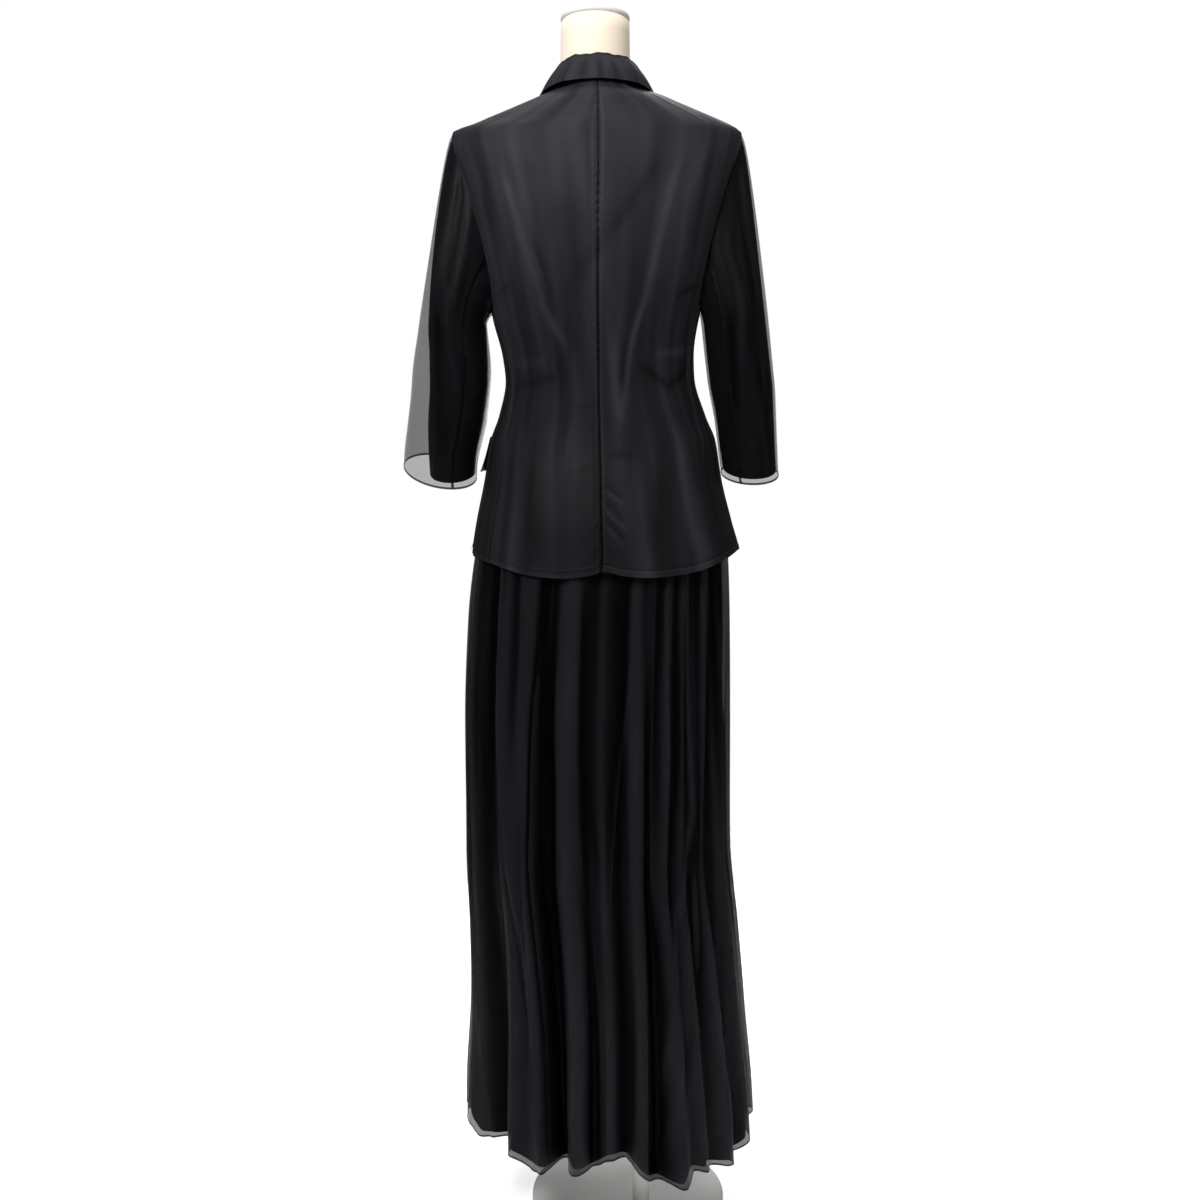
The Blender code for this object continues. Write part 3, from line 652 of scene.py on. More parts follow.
def skirt_sheet(hem_height, ease):
    """The skirt's cloth, or its lining where it hangs inside the skirt by ease."""

    def sheet(along, up):
        hem = hem_height + hem_lift(along)
        z = hem + (SKIRT_TOP - hem) * up
        theta, stand = skirt_place(along, z)
        if ease:
            inside = WAIST_EASE + (ease - WAIST_EASE) * ease_in(-z, -SKIRT_TOP, -1.08)
            hip = ease_in(z, 0.66, 0.80) * ease_in(-z, -1.02, -0.94)
            inside = inside + SIDE_GAP * hip * np.exp(-(((theta - 92) / 14) ** 2))
            stand = np.minimum(stand, LINING_FILL * stand) - inside
        return body_point(SKIRT, theta, z, stand)

    return sheet


def skirt_painted_shading(hem_height):
    """Painted shade in the folds' troughs and painted light on their ridges, on the scale of their size at
    each height, with the skirt's painted light and shade by angle added.
    """

    def painted_shading(along, up):
        hem = hem_height + hem_lift(along)
        z = hem + (SKIRT_TOP - hem) * up
        theta, stand = skirt_place(along, z)
        size = read(FOLD_SIZE, z)[0]
        return 1000 * stand / size * PAINTED_SHADE_SPAN + read(SKIRT_PAINTED_LIGHT, theta)[0]

    return painted_shading


def panel_walk(start, end, steps):
    """Places along FOLDS from one seam to the next, closer together at both seams."""
    even = np.linspace(start + SEAM_GAP, end - SEAM_GAP, (end - start) * steps + 1)
    near = np.array([0.02, 0.04])
    return np.sort(np.concatenate([even, start + SEAM_GAP + near, end - SEAM_GAP - near]))


def build_skirt_lining():
    sheet = skirt_sheet(LINING_HEM, LINING_EASE)
    rows = np.linspace(0, 1, 64)
    for word, start, end in SKIRT_PANELS:
        walk = panel_walk(start, end, 7)
        node = f"skirt_lining_{word}"
        made = shell(
            f"{node}_cloth", sheet, walk, rows, LINING_THICK, lining_cloth, node,
            painted_shading=skirt_painted_shading(LINING_HEM),
        )


build_skirt_lining()

# ---------------------------------------------------------------------------------
# The sheer skirt: three panels of thin see-through crepe, gathered into the waistband,
# with a centre back seam, two side seams and a narrow rolled hem.
SHEER_THICK = 0.0005
HEM_HALF = 0.0014  # half the height of a rolled hem
SHEER_ALPHA = 0.35  # of each face of the shell, so one layer lets two fifths through
GATHERED_ALPHA = 0.60  # and where the cloth is gathered up it is thicker
SKIRT_MM_PER_DEGREE = 2.9
# Creases seen on the skirt's back: height and half width in millimetres, and places
# (angle, z) from the top down
SKIRT_CREASES = (
    (2.6, 6, ((-68, 0.95), (-66, 0.53), (-59, 0.10))),
    (-2.6, 7, ((-52, 0.95), (-50, 0.54), (-42, 0.10))),
    (3.4, 2.6, ((-48, 1.00), (-46, 0.82), (-44, 0.70), (-41, 0.58), (-36, 0.47), (-30, 0.33), (-24, 0.10))),
    (-1.8, 3.0, ((-50, 1.00), (-46, 0.70), (-43, 0.58), (-38, 0.47), (-32, 0.33), (-26, 0.10))),
    (3.0, 8, ((-34, 0.98), (-32, 0.81), (-33, 0.73), (-36, 0.60))),
    (-3.4, 6, ((-23, 0.97), (-28, 0.55), (-20, 0.10))),
    (1.6, 2.2, ((-20, 0.95), (-22, 0.75), (-23, 0.55), (-17, 0.30))),
    (2.6, 11, ((-15, 0.98), (-14, 0.56), (-14, 0.10))),
    (-2.2, 4, ((-6, 0.90), (-5, 0.56), (-6, 0.10))),
    (1.0, 2.2, ((-8, 0.60), (-2, 0.36), (-3, 0.10))),
    (2.0, 5, ((1, 0.98), (2, 0.56), (0, 0.10))),
    (-1.6, 2.4, ((10, 0.76), (6, 0.65))),
    (2.0, 2.2, ((13, 0.78), (8, 0.64), (5, 0.50))),
    (2.4, 5, ((14, 0.98), (15, 0.56), (11, 0.10))),
    (-2.6, 5, ((18, 0.94), (22, 0.56), (16, 0.10))),
    (2.0, 3, ((23, 0.98), (24, 0.50))),
    (2.0, 3, ((28, 0.98), (30, 0.66))),
    (-2.0, 4, ((33, 0.97), (35, 0.70), (30, 0.45))),
    (2.8, 3, ((38, 0.98), (42, 0.70), (44, 0.61), (39, 0.53), (33, 0.47), (24, 0.26))),
    (-3.0, 6, ((45, 0.97), (46, 0.64), (42, 0.36))),
    (2.4, 4, ((54, 0.96), (62, 0.53), (50, 0.10))),
    (1.8, 3, ((60, 0.96), (62, 0.86), (69, 0.72))),
    (1.6, 3, ((34, 0.36), (20, 0.10))),
    (-1.4, 3, ((37, 0.34), (24, 0.10))),
    (1.4, 3, ((38, 0.32), (28, 0.10))),
    (1.6, 4, ((48, 0.38), (50, 0.10))),
    (1.6, 4, ((63, 0.48), (59, 0.10))),
    (-1.6, 3, ((-4, 0.65), (1, 0.53))),
    (-1.6, 3, ((-22, 0.74), (-17, 0.64))),
    (2.0, 4, ((-66, 0.33), (-52, 0.10))),
    (2.0, 5, ((-89, 0.43), (-86, 0.10))),
    (-1.6, 5, ((-78, 0.90), (-76, 0.50), (-74, 0.20))),
    # like ones on the hidden front
    (1.8, 5, ((100, 0.95), (104, 0.62), (98, 0.10))),
    (-1.6, 6, ((112, 0.84), (109, 0.50), (112, 0.10))),
    (2.0, 5, ((128, 0.90), (124, 0.66), (133, 0.34))),
    (1.6, 4, ((136, 0.52), (140, 0.30), (134, 0.10))),
    (-1.8, 6, ((150, 0.86), (149, 0.48), (146, 0.10))),
    (1.6, 5, ((161, 0.93), (164, 0.70), (160, 0.45))),
    (1.8, 6, ((174, 0.60), (171, 0.38), (176, 0.10))),
    (1.6, 4, ((184, 0.90), (188, 0.62), (186, 0.10))),
    (-1.8, 5, ((197, 0.84), (199, 0.50), (196, 0.10))),
    (1.8, 5, ((209, 0.92), (208, 0.68), (213, 0.44))),
    (1.4, 4, ((222, 0.58), (219, 0.34), (223, 0.10))),
    (2.0, 5, ((233, 0.88), (231, 0.60), (235, 0.10))),
    (-1.6, 6, ((244, 0.84), (246, 0.50), (243, 0.10))),
    (1.4, 4, ((254, 0.70), (256, 0.42), (251, 0.10))),
)
SEAM_PUCKER = 0.0008


def drift(across, height, size):
    """A slow unevenness of the cloth, as hand-hung cloth has, in metres."""
    waves = (
        (0.19, 5.3, 0.4, 1.0),
        (0.43, -9.1, 2.0, 0.7),
        (0.83, 15.0, 4.1, 0.35),
        (0.31, 23.0, 1.3, 0.35),
    )
    total = 0 * across
    for turn, climb, start, share in waves:
        total = total + share * np.sin(turn * across + climb * height + start)
    return size * total


def pucker(distance, height, reach, wave):
    """Small cross waves beside a seam, at a distance from it in metres."""
    fade = np.exp(-((distance / reach) ** 2))
    uneven = 0.6 + 0.4 * np.sin(37 * height + 1.0)
    return SEAM_PUCKER * fade * uneven * np.sin(2 * np.pi * height / wave + 9 * distance / reach)


def skirt_relief(hem_height):
    def relief(along, up):
        hem = hem_height + hem_lift(along)
        z = hem + (SKIRT_TOP - hem) * up
        theta, _ = skirt_place(along, z)
        waist = 1 - ease_in(z, 0.95, 1.12)
        stand = creases(SKIRT_CREASES, theta, z, SKIRT_MM_PER_DEGREE, 0.05)
        stand = stand + drift(theta, z, 0.0005)
        seams = [BACK_SEAM, *SIDE_SEAMS, len(FOLDS)]
        for seam in seams:
            seam_theta, _ = skirt_place(np.full(along.shape, float(seam)), z)
            gap = np.abs(theta - seam_theta) * SKIRT_MM_PER_DEGREE / 1000
            share = 1.0 if seam == BACK_SEAM else 0.3
            stand = stand + share * pucker(gap, z, 0.006, 0.017)
            stand = stand - 0.0012 * np.exp(-((gap / 0.0014) ** 2))
        return stand * waist

    return relief


def edge_roll(name, sheet, across, at, half, material, relief=None, sides=8):
    """A narrow rolled hem: a flat tube along a sheet's edge at the place up at, which
    reaches half above and below it."""
    step = 0.002
    u, v = np.meshgrid(across, np.array([at, at + step]))
    grid = sheet(u, v)
    run = np.gradient(grid, axis=1)
    climb = np.stack([grid[1] - grid[0]] * 2)
    normal = np.cross(run, climb)
    normal /= np.linalg.norm(normal, axis=-1, keepdims=True)
    if relief is not None:
        grid = grid + normal * relief(u, v)[..., None]
    path, out = grid[0], normal[0]
    up = climb[0] / np.linalg.norm(climb[0], axis=-1, keepdims=True)
    angle = np.arange(sides) * 2 * np.pi / sides
    flat = 0.40
    rings = [
        path + up * half * math.cos(turn) - out * half * flat * math.sin(turn)
        for turn in angle
    ]
    points, faces = joined_rings(np.stack(rings, axis=1))
    return finished(name, points, faces, material, None)


sheer_cloth = cloth_finish(
    "sheer_crepe", (0.0068, 0.0067, 0.0082), 0.2, 0.95, roughness=0.4, gloss=0.05, alpha=SHEER_ALPHA
)
sheer_gathered = cloth_finish(
    "sheer_crepe_gathered", (0.0078, 0.0077, 0.0095), 0.2, 0.97, roughness=0.4, gloss=0.045,
    alpha=GATHERED_ALPHA
)
sheer_layers = cloth_finish(
    "sheer_crepe_folded", (0.0035, 0.0035, 0.0042), 0.15, 0.0, roughness=0.5, gloss=0.08, alpha=0.72
)


def build_skirt():
    sheet = skirt_sheet(SKIRT_HEM, 0)
    relief = skirt_relief(SKIRT_HEM)
    rows = np.linspace(0, 1, 122)
    for word, start, end in SKIRT_PANELS:
        walk = panel_walk(start, end, 14)
        node = f"skirt_{word}"
        made = shell(
            f"{node}_cloth", sheet, walk, rows, SHEER_THICK, sheer_gathered, node, relief,
            painted_shading=skirt_painted_shading(SKIRT_HEM),
        )
        hem = edge_roll(
            f"skirt_hem_{word}", sheet, walk, 0.0, HEM_HALF, sheer_layers, relief
        )


build_skirt()

# ---------------------------------------------------------------------------------
# The waistband: a plain doubled band of lining cloth round the form's waist, hidden
# by the jacket, that both layers of the skirt hang from.
WAISTBAND_TOP = 1.195
WAISTBAND_WALL = 0.0015
FORM_CLEAR = 0.0005
BAND_JOIN = 0.05  # half the gap where the band's ends meet, as an angle


def build_waistband():
    theta = np.append(np.arange(FORM_COLUMNS) * 360 / FORM_COLUMNS, 360) + BAND_JOIN
    theta[-1] -= 2 * BAND_JOIN

    def sheet(turn, z):
        return body_point(FORM, turn, z, FORM_CLEAR + WAISTBAND_WALL / 2)

    heights = np.linspace(SKIRT_TOP + 0.0008, WAISTBAND_TOP, 7)
    made = shell(
        "waistband_cloth", sheet, theta, heights, WAISTBAND_WALL, lining_cloth, "skirt_waistband"
    )


build_waistband()

# ---------------------------------------------------------------------------------
# The jacket's body: back, side and front panels of black crepe over an opaque lining,
# joined at a centre back seam and four long seams, with a stitched narrow hem. The
# right front laps over the left one.
JACKET = (
    (0.920, 0.003, 0.180, 0.134, 0.116, 2.10),
    (0.945, 0.003, 0.177, 0.131, 0.114, 2.10),
    (0.985, 0.001, 0.168, 0.125, 0.110, 2.10),
    (1.036, 0.000, 0.156, 0.112, 0.104, 2.15),
    (1.089, 0.000, 0.147, 0.097, 0.100, 2.15),
    (1.120, -0.001, 0.135, 0.091, 0.097, 2.15),
    (1.170, -0.004, 0.123, 0.086, 0.094, 2.15),
    (1.195, -0.006, 0.124, 0.087, 0.097, 2.15),
    (1.245, -0.009, 0.133, 0.096, 0.113, 2.20),
    (1.300, -0.008, 0.145, 0.107, 0.126, 2.25),
    (1.370, -0.008, 0.160, 0.111, 0.116, 2.30),
    (1.425, -0.008, 0.173, 0.103, 0.092, 2.35),
    (1.455, -0.008, 0.181, 0.094, 0.074, 2.40),
    (1.474, -0.008, 0.184, 0.088, 0.064, 2.40),
    (1.487, -0.002, 0.158, 0.083, 0.058, 2.40),
    (1.501, -0.002, 0.124, 0.078, 0.053, 2.35),
    (1.515, -0.002, 0.089, 0.073, 0.049, 2.25),
    (1.528, -0.007, 0.060, 0.064, 0.048, 2.10),
    (1.536, -0.007, 0.057, 0.062, 0.047, 2.10),
)
JACKET_HEM = 0.945
JACKET_TOP = 1.531
HEM_DIP = 0.017  # the hem hangs this much lower at the centre back
UNDERARM = 1.262
SHOULDER_TIP = 1.474
ARMHOLE_DIP = 0.012
UNDER_GAP = 0.0006
SEAM_ANGLE = 0.05  # half the gap at a seam, as an angle round the body
OVERLAP_STEP = 0.0015
JACKET_THICK = 0.0010
JACKET_MM_PER_DEGREE = 2.4
# Panel edges: height, angle where the back panel ends and where the front one starts
PANEL_EDGES = (
    (0.920, 57.0, 125.0),
    (1.050, 56.0, 124.0),
    (1.165, 66.0, 117.0),
    (1.262, 72.0, 108.0),
    (1.300, 68.0, 113.0),
    (1.330, 68.0, 114.0),
    (1.370, 70.0, 112.0),
    (1.410, 74.0, 107.0),
    (1.452, 82.0, 98.0),
    (1.474, 90.0, 90.0),
    (1.536, 90.0, 90.0),
)
# The front opening: height, and how far a front's edge is from the middle line, less
# than nothing where it crosses over
OPENING = (
    (0.920, -0.012),
    (1.296, -0.012),
    (1.310, -0.002),
    (1.360, 0.019),
    (1.420, 0.034),
    (1.474, 0.046),
    (1.509, 0.053),
    (1.536, 0.061),
)
# Creases of the jacket's back and sides, as the skirt's, then like ones on its front
JACKET_CREASES = (
    (1.3, 7, ((-56, 1.426), (-54, 1.402), (-52, 1.378))),
    (1.5, 6, ((-38, 1.422), (-33, 1.342), (-26, 1.258), (-18, 1.215))),
    (0.9, 3, ((-29, 1.330), (-22, 1.262))),
    (-0.8, 9, ((-28, 1.342), (-22, 1.250))),
    (1.5, 6, ((31, 1.422), (28, 1.342), (23, 1.258), (16, 1.182), (10, 1.126))),
    (0.9, 3, ((24, 1.262), (18, 1.215), (15, 1.180))),
    (1.2, 8, ((44, 1.442), (44, 1.406))),
    (-1.0, 8, ((-1, 1.486), (0, 1.386))),
    (-1.0, 8, ((-2, 1.330), (-5, 1.302))),
    (-1.2, 8, ((-21, 1.210), (-19, 1.050))),
    (1.0, 6, ((-13, 1.210), (-12, 1.050))),
    (0.9, 6, ((-16, 1.118), (-18, 1.054))),
    (-1.4, 10, ((-54, 1.414), (-52, 1.370))),
    (-0.6, 8, ((22, 1.430), (2, 1.330))),
    (-1.4, 12, ((29, 1.050), (24, 0.970))),
    (-1.2, 12, ((-32, 1.050), (-29, 0.970))),
    (1.2, 7, ((9, 1.215), (8, 1.130))),
    (-1.6, 8, ((14, 1.205), (11, 1.140))),
    (1.4, 10, ((40, 1.100), (44, 0.900))),
    (1.2, 10, ((-44, 1.110), (-40, 0.900))),
    (1.0, 9, ((14, 1.060), (15, 0.900))),
    (1.2, 6, ((-84, 1.130), (-80, 0.900))),
    (1.2, 6, ((76, 1.130), (80, 0.900))),
    (-1.2, 6, ((98, 1.110), (101, 0.900))),
    (1.4, 9, ((128, 1.400), (140, 1.310), (150, 1.240))),
    (-1.4, 9, ((118, 1.330), (134, 1.250))),
    (1.2, 9, ((232, 1.400), (220, 1.310), (212, 1.240))),
    (-1.2, 8, ((240, 1.330), (226, 1.250))),
    (1.2, 8, ((150, 1.100), (146, 0.900))),
    (1.2, 8, ((208, 1.110), (214, 0.900))),
)
# Creases that run round the body: height and half width in millimetres, places (z,
# angle) from the greatest angle down
CROSS_CREASES = (
    (-1.1, 6, ((1.174, -26), (1.166, -40), (1.158, -60))),
    (0.9, 6, ((1.192, -30), (1.188, -60))),
    (-1.2, 6, ((1.178, 64), (1.158, 43), (1.182, 24))),
    (0.9, 6, ((1.204, 62), (1.198, 34))),
    (-0.8, 4, ((1.074, 12), (1.074, 3))),
    (-0.9, 3, ((1.066, -3), (1.058, -12))),
    (-0.8, 3, ((1.140, -1), (1.136, -14))),
    (-1.0, 4, ((1.286, 62), (1.272, 46))),
    (-1.0, 4, ((1.286, -46), (1.276, -62))),
    (-1.1, 6, ((1.172, 150), (1.160, 122))),
    (-1.1, 6, ((1.172, 238), (1.160, 212))),
)
# Puckers that slant down and out from the centre back seam, most of them on its right,
# in the same columns
SEAM_TICKS = (
    (-0.9, 2.2, ((1.030, 7.0), (1.040, 1.5))),
    (0.8, 2.2, ((1.023, 7.5), (1.034, 1.5))),
    (-0.9, 2.2, ((1.006, 8.0), (1.022, 1.5))),
    (0.8, 2.2, ((0.996, 8.5), (1.014, 1.0))),
    (-0.9, 2.2, ((0.986, 8.0), (1.004, 1.0))),
    (0.7, 2.2, ((0.980, 6.5), (0.996, 1.0))),
    (-0.7, 2.0, ((0.962, 4.5), (0.974, 1.0))),
    (-0.6, 2.0, ((1.002, -1.0), (0.996, -4.5))),
    (-0.6, 2.0, ((0.978, -1.0), (0.972, -5.0))),
)
# How far the hem of the jacket is drawn up, by its angle, in millimetres
JACKET_HEM_LIFT = (
    (-180, 0),
    (-100, 0),
    (-56, 1),
    (-34, -5),
    (-20, -6),
    (-6, -1),
    (0, 4),
    (6, -1),
    (20, -5),
    (34, -4),
    (50, 1),
    (62, 5),
    (76, 8),
    (90, 9),
    (105, 5),
    (120, 0),
    (180, 0),
)
# Where the centre back seam lies: height, and x
CENTRE_SEAM = (
    (0.920, -0.0025),
    (1.040, -0.0040),
    (1.170, -0.0060),
    (1.300, -0.0070),
    (1.536, -0.0065),
)


def centre_seam(z):
    """The angle at which the centre back seam lies."""
    centre, half, power = read(JACKET, z)[[0, 1, 4]]
    aside = read(CENTRE_SEAM, z)[0] - centre
    share = (np.abs(aside) / half) ** (power / 2)
    return np.sign(aside) * np.degrees(np.arcsin(share))


def jacket_point(theta, z, out=0.0):
    """The jacket's cloth, whose hem dips at the centre back and is drawn up in places."""
    turned = (theta + 180) % 360 - 180
    low = 1 - ease_in(z, JACKET_HEM, JACKET_HEM + 0.14)
    dip = HEM_DIP * np.cos(np.radians(theta) / 2) ** 4
    lift = read(JACKET_HEM_LIFT, turned)[0] / 1000
    return body_point(JACKET, theta, z + (lift - dip) * low, out)


def front_step(theta, side):
    """How far a front stands off the body's line, so that the right one lies on top."""
    return side * OVERLAP_STEP * ease_in(theta, 160, 170)


def panel_angle(first, second):
    return lambda part, z: first(z) + (second(z) - first(z)) * part


def back_edge(z):
    return read(PANEL_EDGES, z)[0]


def front_edge(z):
    return read(PANEL_EDGES, z)[1]


def front_angle(x, z):
    """The angle at which the front of the jacket lies x from its middle line."""
    half, power = read(JACKET, z)[[1, 4]]
    share = np.clip(np.abs(x) / half, 0, 1) ** (power / 2)
    return 180 - np.sign(x) * np.degrees(np.arcsin(share))


def opening_edge(z):
    return front_angle(read(OPENING, z)[0], z)


def jacket_relief(theta, z):
    """How far the jacket's cloth stands off its body at each angle and height."""
    turned = (theta + 180) % 360 - 180
    stand = 0 * theta
    for angle in (turned, turned % 360):
        once = creases(JACKET_CREASES, angle, z, JACKET_MM_PER_DEGREE, 0.03)
        stand = np.where(np.abs(once) > np.abs(stand), once, stand)
    for angle in (turned, turned % 360):
        stand = stand + 0.5 * creases(CROSS_CREASES, z, angle, 1000, 5)
    ticks = creases(SEAM_TICKS, z, turned, 1000, 1.2)
    return 1.2 * stand + 1.6 * ticks + drift(turned, z, 0.0004)


def jacket_painted_light(z):
    """Painted light and shade: the jacket's colour is painted lighter over the shoulders and darker towards
    its hem.
    """
    return -1.3 + 1.6 * ease_in(z, 1.06, 1.38)


def seam_groove(distance, z):
    """The dent of a pressed seam and its small puckers, at a distance in metres."""
    dent = -0.0013 * np.exp(-((distance / 0.0013) ** 2))
    ridge = 0.0007 * np.exp(-(((distance - 0.0030) / 0.0014) ** 2))
    return dent + ridge + 0.9 * pucker(distance, z, 0.007, 0.011)


def hem_fold(z):
    """The doubled narrow hem, and the dent of its stitching just above it."""
    band = 0.0005 * (1 - ease_in(z, JACKET_HEM + 0.006, JACKET_HEM + 0.0085))
    dent = -0.0005 * np.exp(-(((z - JACKET_HEM - 0.0085) / 0.0013) ** 2))
    return band + dent


def fine_parts(count):
    """Parts of the way across a panel, closer together at both edges."""
    even = np.linspace(0, 1, count)
    near = np.array([0.004, 0.008, 0.013, 0.02])
    return np.unique(np.concatenate([even, near, 1 - near]))


def fine_heights(low, high, count):
    """Heights from low to high, closer together at the hem."""
    even = np.linspace(low, high, count)
    return np.unique(np.concatenate([even, low + np.arange(0.001, 0.013, 0.001)]))


jacket_cloth = cloth_finish(
    "jacket_crepe", (0.0172, 0.0168, 0.0201), 0.28, 0.75, roughness=0.5, gloss=0.05, grain=0.35
)

PANEL_RADIUS = 0.14  # of the body where the long seams run, roughly
HOLE_REACH = 0.02  # how far in from an armhole the cloth lies calm


def build_panel(kind, word, side, first, second, parts, heights, edges):
    """A jacket panel between two edges, each an angle for a height."""
    angle = panel_angle(first, second)

    def level(part, z):
        if kind != "side":
            return z
        dip = ARMHOLE_DIP * np.sin(np.pi * np.clip(part, 0, 1)) ** 2
        return z - (dip + UNDER_GAP) * ease_in(z, 1.20, UNDERARM)

    def sheet(part, z):
        theta = angle(part, z)
        out = front_step(theta, side) if kind == "front" else 0.0
        return jacket_point(theta * side, level(part, z), out)

    def relief(part, z):
        theta = angle(part, z)
        stand = jacket_relief(theta * side, z) + hem_fold(z)
        span = np.radians(second(z) - first(z)) * PANEL_RADIUS
        # The top edges at the armholes and the neck stay on the body's own line
        calm = 1 - (
            0.8 * ease_in(z, 1.36, 1.46) * ease_in(theta, 60, 80) * ease_in(-theta, -120, -100)
        )
        lapped = ease_in(theta, 150, 164)
        hole = {"back": 1 - part, "side": 1 + 0 * part, "front": part}[kind] * span
        near = np.exp(-((hole / HOLE_REACH) ** 2)) * ease_in(z, UNDERARM - 0.03, UNDERARM)
        stand = stand * calm * (1 - 0.7 * lapped) * (1 - near)
        for edge, sewn in zip((part, 1 - part), edges):
            if sewn:
                stand = stand + seam_groove(edge * span, z) * (1 - 0.7 * near)
        return stand

    name = f"{kind}_{word}"
    # The jacket's colour carries painted shade in its creases, and painted light that is lighter over the
    # shoulders and darker towards the hem.
    made = shell(
        f"{name}_cloth", sheet, parts, heights, JACKET_THICK, jacket_cloth, name,
        relief, painted_shading=lambda part, z: jacket_painted_light(z),
    )


def build_jacket_body():
    tall = fine_heights(JACKET_HEM, JACKET_TOP, 150)
    short = fine_heights(JACKET_HEM, UNDERARM, 84)
    for side, word in ((-1, "left"), (1, "right")):
        build_panel(
            "back", word, side, lambda z: centre_seam(z) * side + SEAM_ANGLE,
            lambda z: back_edge(z) - SEAM_ANGLE, fine_parts(72), tall, (True, True),
        )
        build_panel(
            "side", word, side, lambda z: back_edge(z) + SEAM_ANGLE, lambda z: front_edge(z) - SEAM_ANGLE,
            fine_parts(56), short, (True, True),
        )
        build_panel(
            "front", word, side, lambda z: front_edge(z) + SEAM_ANGLE, opening_edge,
            fine_parts(64), tall, (True, False),
        )


build_jacket_body()

# ---------------------------------------------------------------------------------
# The sleeves' linings: in each sheer sleeve hangs a narrower tube of black lining
# cloth, cut in a top and an under half as the sleeve is. Rings are height, centre x,
# half width, centre y and half depth.
LEFT_INNER = (
    (1.037, -0.1993, 0.0292, 0.004, 0.036),
    (1.062, -0.1988, 0.0307, 0.004, 0.037),
    (1.115, -0.1933, 0.0362, 0.001, 0.040),
    (1.167, -0.1881, 0.0379, -0.002, 0.044),
    (1.235, -0.1888, 0.0367, -0.004, 0.049),
)
RIGHT_INNER = (
    (1.037, 0.1963, 0.0338, 0.004, 0.036),
    (1.062, 0.1925, 0.0353, 0.004, 0.037),
    (1.115, 0.1868, 0.0373, 0.001, 0.040),
    (1.167, 0.1798, 0.0403, -0.002, 0.043),
    (1.235, 0.1713, 0.0398, -0.004, 0.049),
)
ARMHOLE_GAP = 0.0007
SLEEVE_SEAMS = (0.32, 0.69)  # back and front seam, as parts of the way round
SLEEVE_SEAM_GAP = 0.0004
# How far a cuff's edge rises and falls, and the part of the way round it hangs lowest
LEFT_CUFF = (0.020, 0.33)
LINING_CUFFS = (0.011, 0.25)
RIGHT_CUFF = (0.011, 0.25)
SLEEVE_MM_ROUND = 290  # the way round a sleeve
# Creases of the linings: as the skirt's, with places (part of the way round, up)
LEFT_LINING_CREASES = (
    (-2.0, 8, ((0.10, 1.20), (0.16, 1.00), (0.24, 0.80), (0.33, 0.55))),
    (1.8, 7, ((0.05, 1.00), (0.12, 0.75), (0.20, 0.45))),
    (1.6, 7, ((0.30, 0.95), (0.36, 0.60), (0.30, 0.35), (0.24, 0.10))),
    (-1.6, 7, ((0.26, 0.45), (0.20, 0.15))),
    (1.4, 6, ((0.16, 0.35), (0.13, 0.02))),
    (-1.4, 8, ((0.18, 1.70), (0.22, 1.35))),
    (1.4, 8, ((0.60, 1.30), (0.72, 0.70), (0.68, 0.10))),
    (-1.4, 8, ((0.82, 1.40), (0.85, 0.70), (0.80, 0.10))),
)
RIGHT_LINING_CREASES = (
    (2.0, 7, ((0.20, 1.30), (0.22, 0.90), (0.25, 0.50), (0.22, 0.10))),
    (-2.0, 8, ((0.28, 1.10), (0.30, 0.70), (0.34, 0.40))),
    (1.6, 7, ((0.10, 0.90), (0.13, 0.45), (0.10, 0.05))),
    (-1.6, 7, ((0.16, 0.70), (0.19, 0.30), (0.17, 0.05))),
    (1.4, 8, ((0.62, 1.30), (0.66, 0.70), (0.70, 0.10))),
    (-1.4, 8, ((0.80, 1.40), (0.78, 0.70), (0.83, 0.10))),
)
LINING_INSET = 0.0046


def armhole(side, parts, inset):
    """Points of a sleeve's top edge at parts of the way round the armhole, from the
    shoulder tip down the back, under the arm and up the front."""
    heights = np.linspace(UNDERARM, SHOULDER_TIP, 60)
    under = np.linspace(0, 1, 30)[1:-1]
    start, end = back_edge(UNDERARM), front_edge(UNDERARM)
    theta = np.concatenate(
        [back_edge(heights[::-1]), start + (end - start) * under, front_edge(heights)]
    )
    dip = ARMHOLE_DIP * np.sin(np.pi * under) ** 2
    z = np.concatenate([heights[::-1], UNDERARM - dip, heights])
    loop = jacket_point(theta * side, z)
    run = np.concatenate([[0], np.cumsum(np.linalg.norm(np.diff(loop, axis=0), axis=1))])
    at = np.mod(parts, 1) * run[-1]
    points = np.stack([np.interp(at, run, loop[:, k]) for k in range(3)], -1)
    inward = loop.mean(axis=0) - points
    inward /= np.linalg.norm(inward, axis=-1, keepdims=True)
    return points + inward * inset + [side * ARMHOLE_GAP, 0, 0]


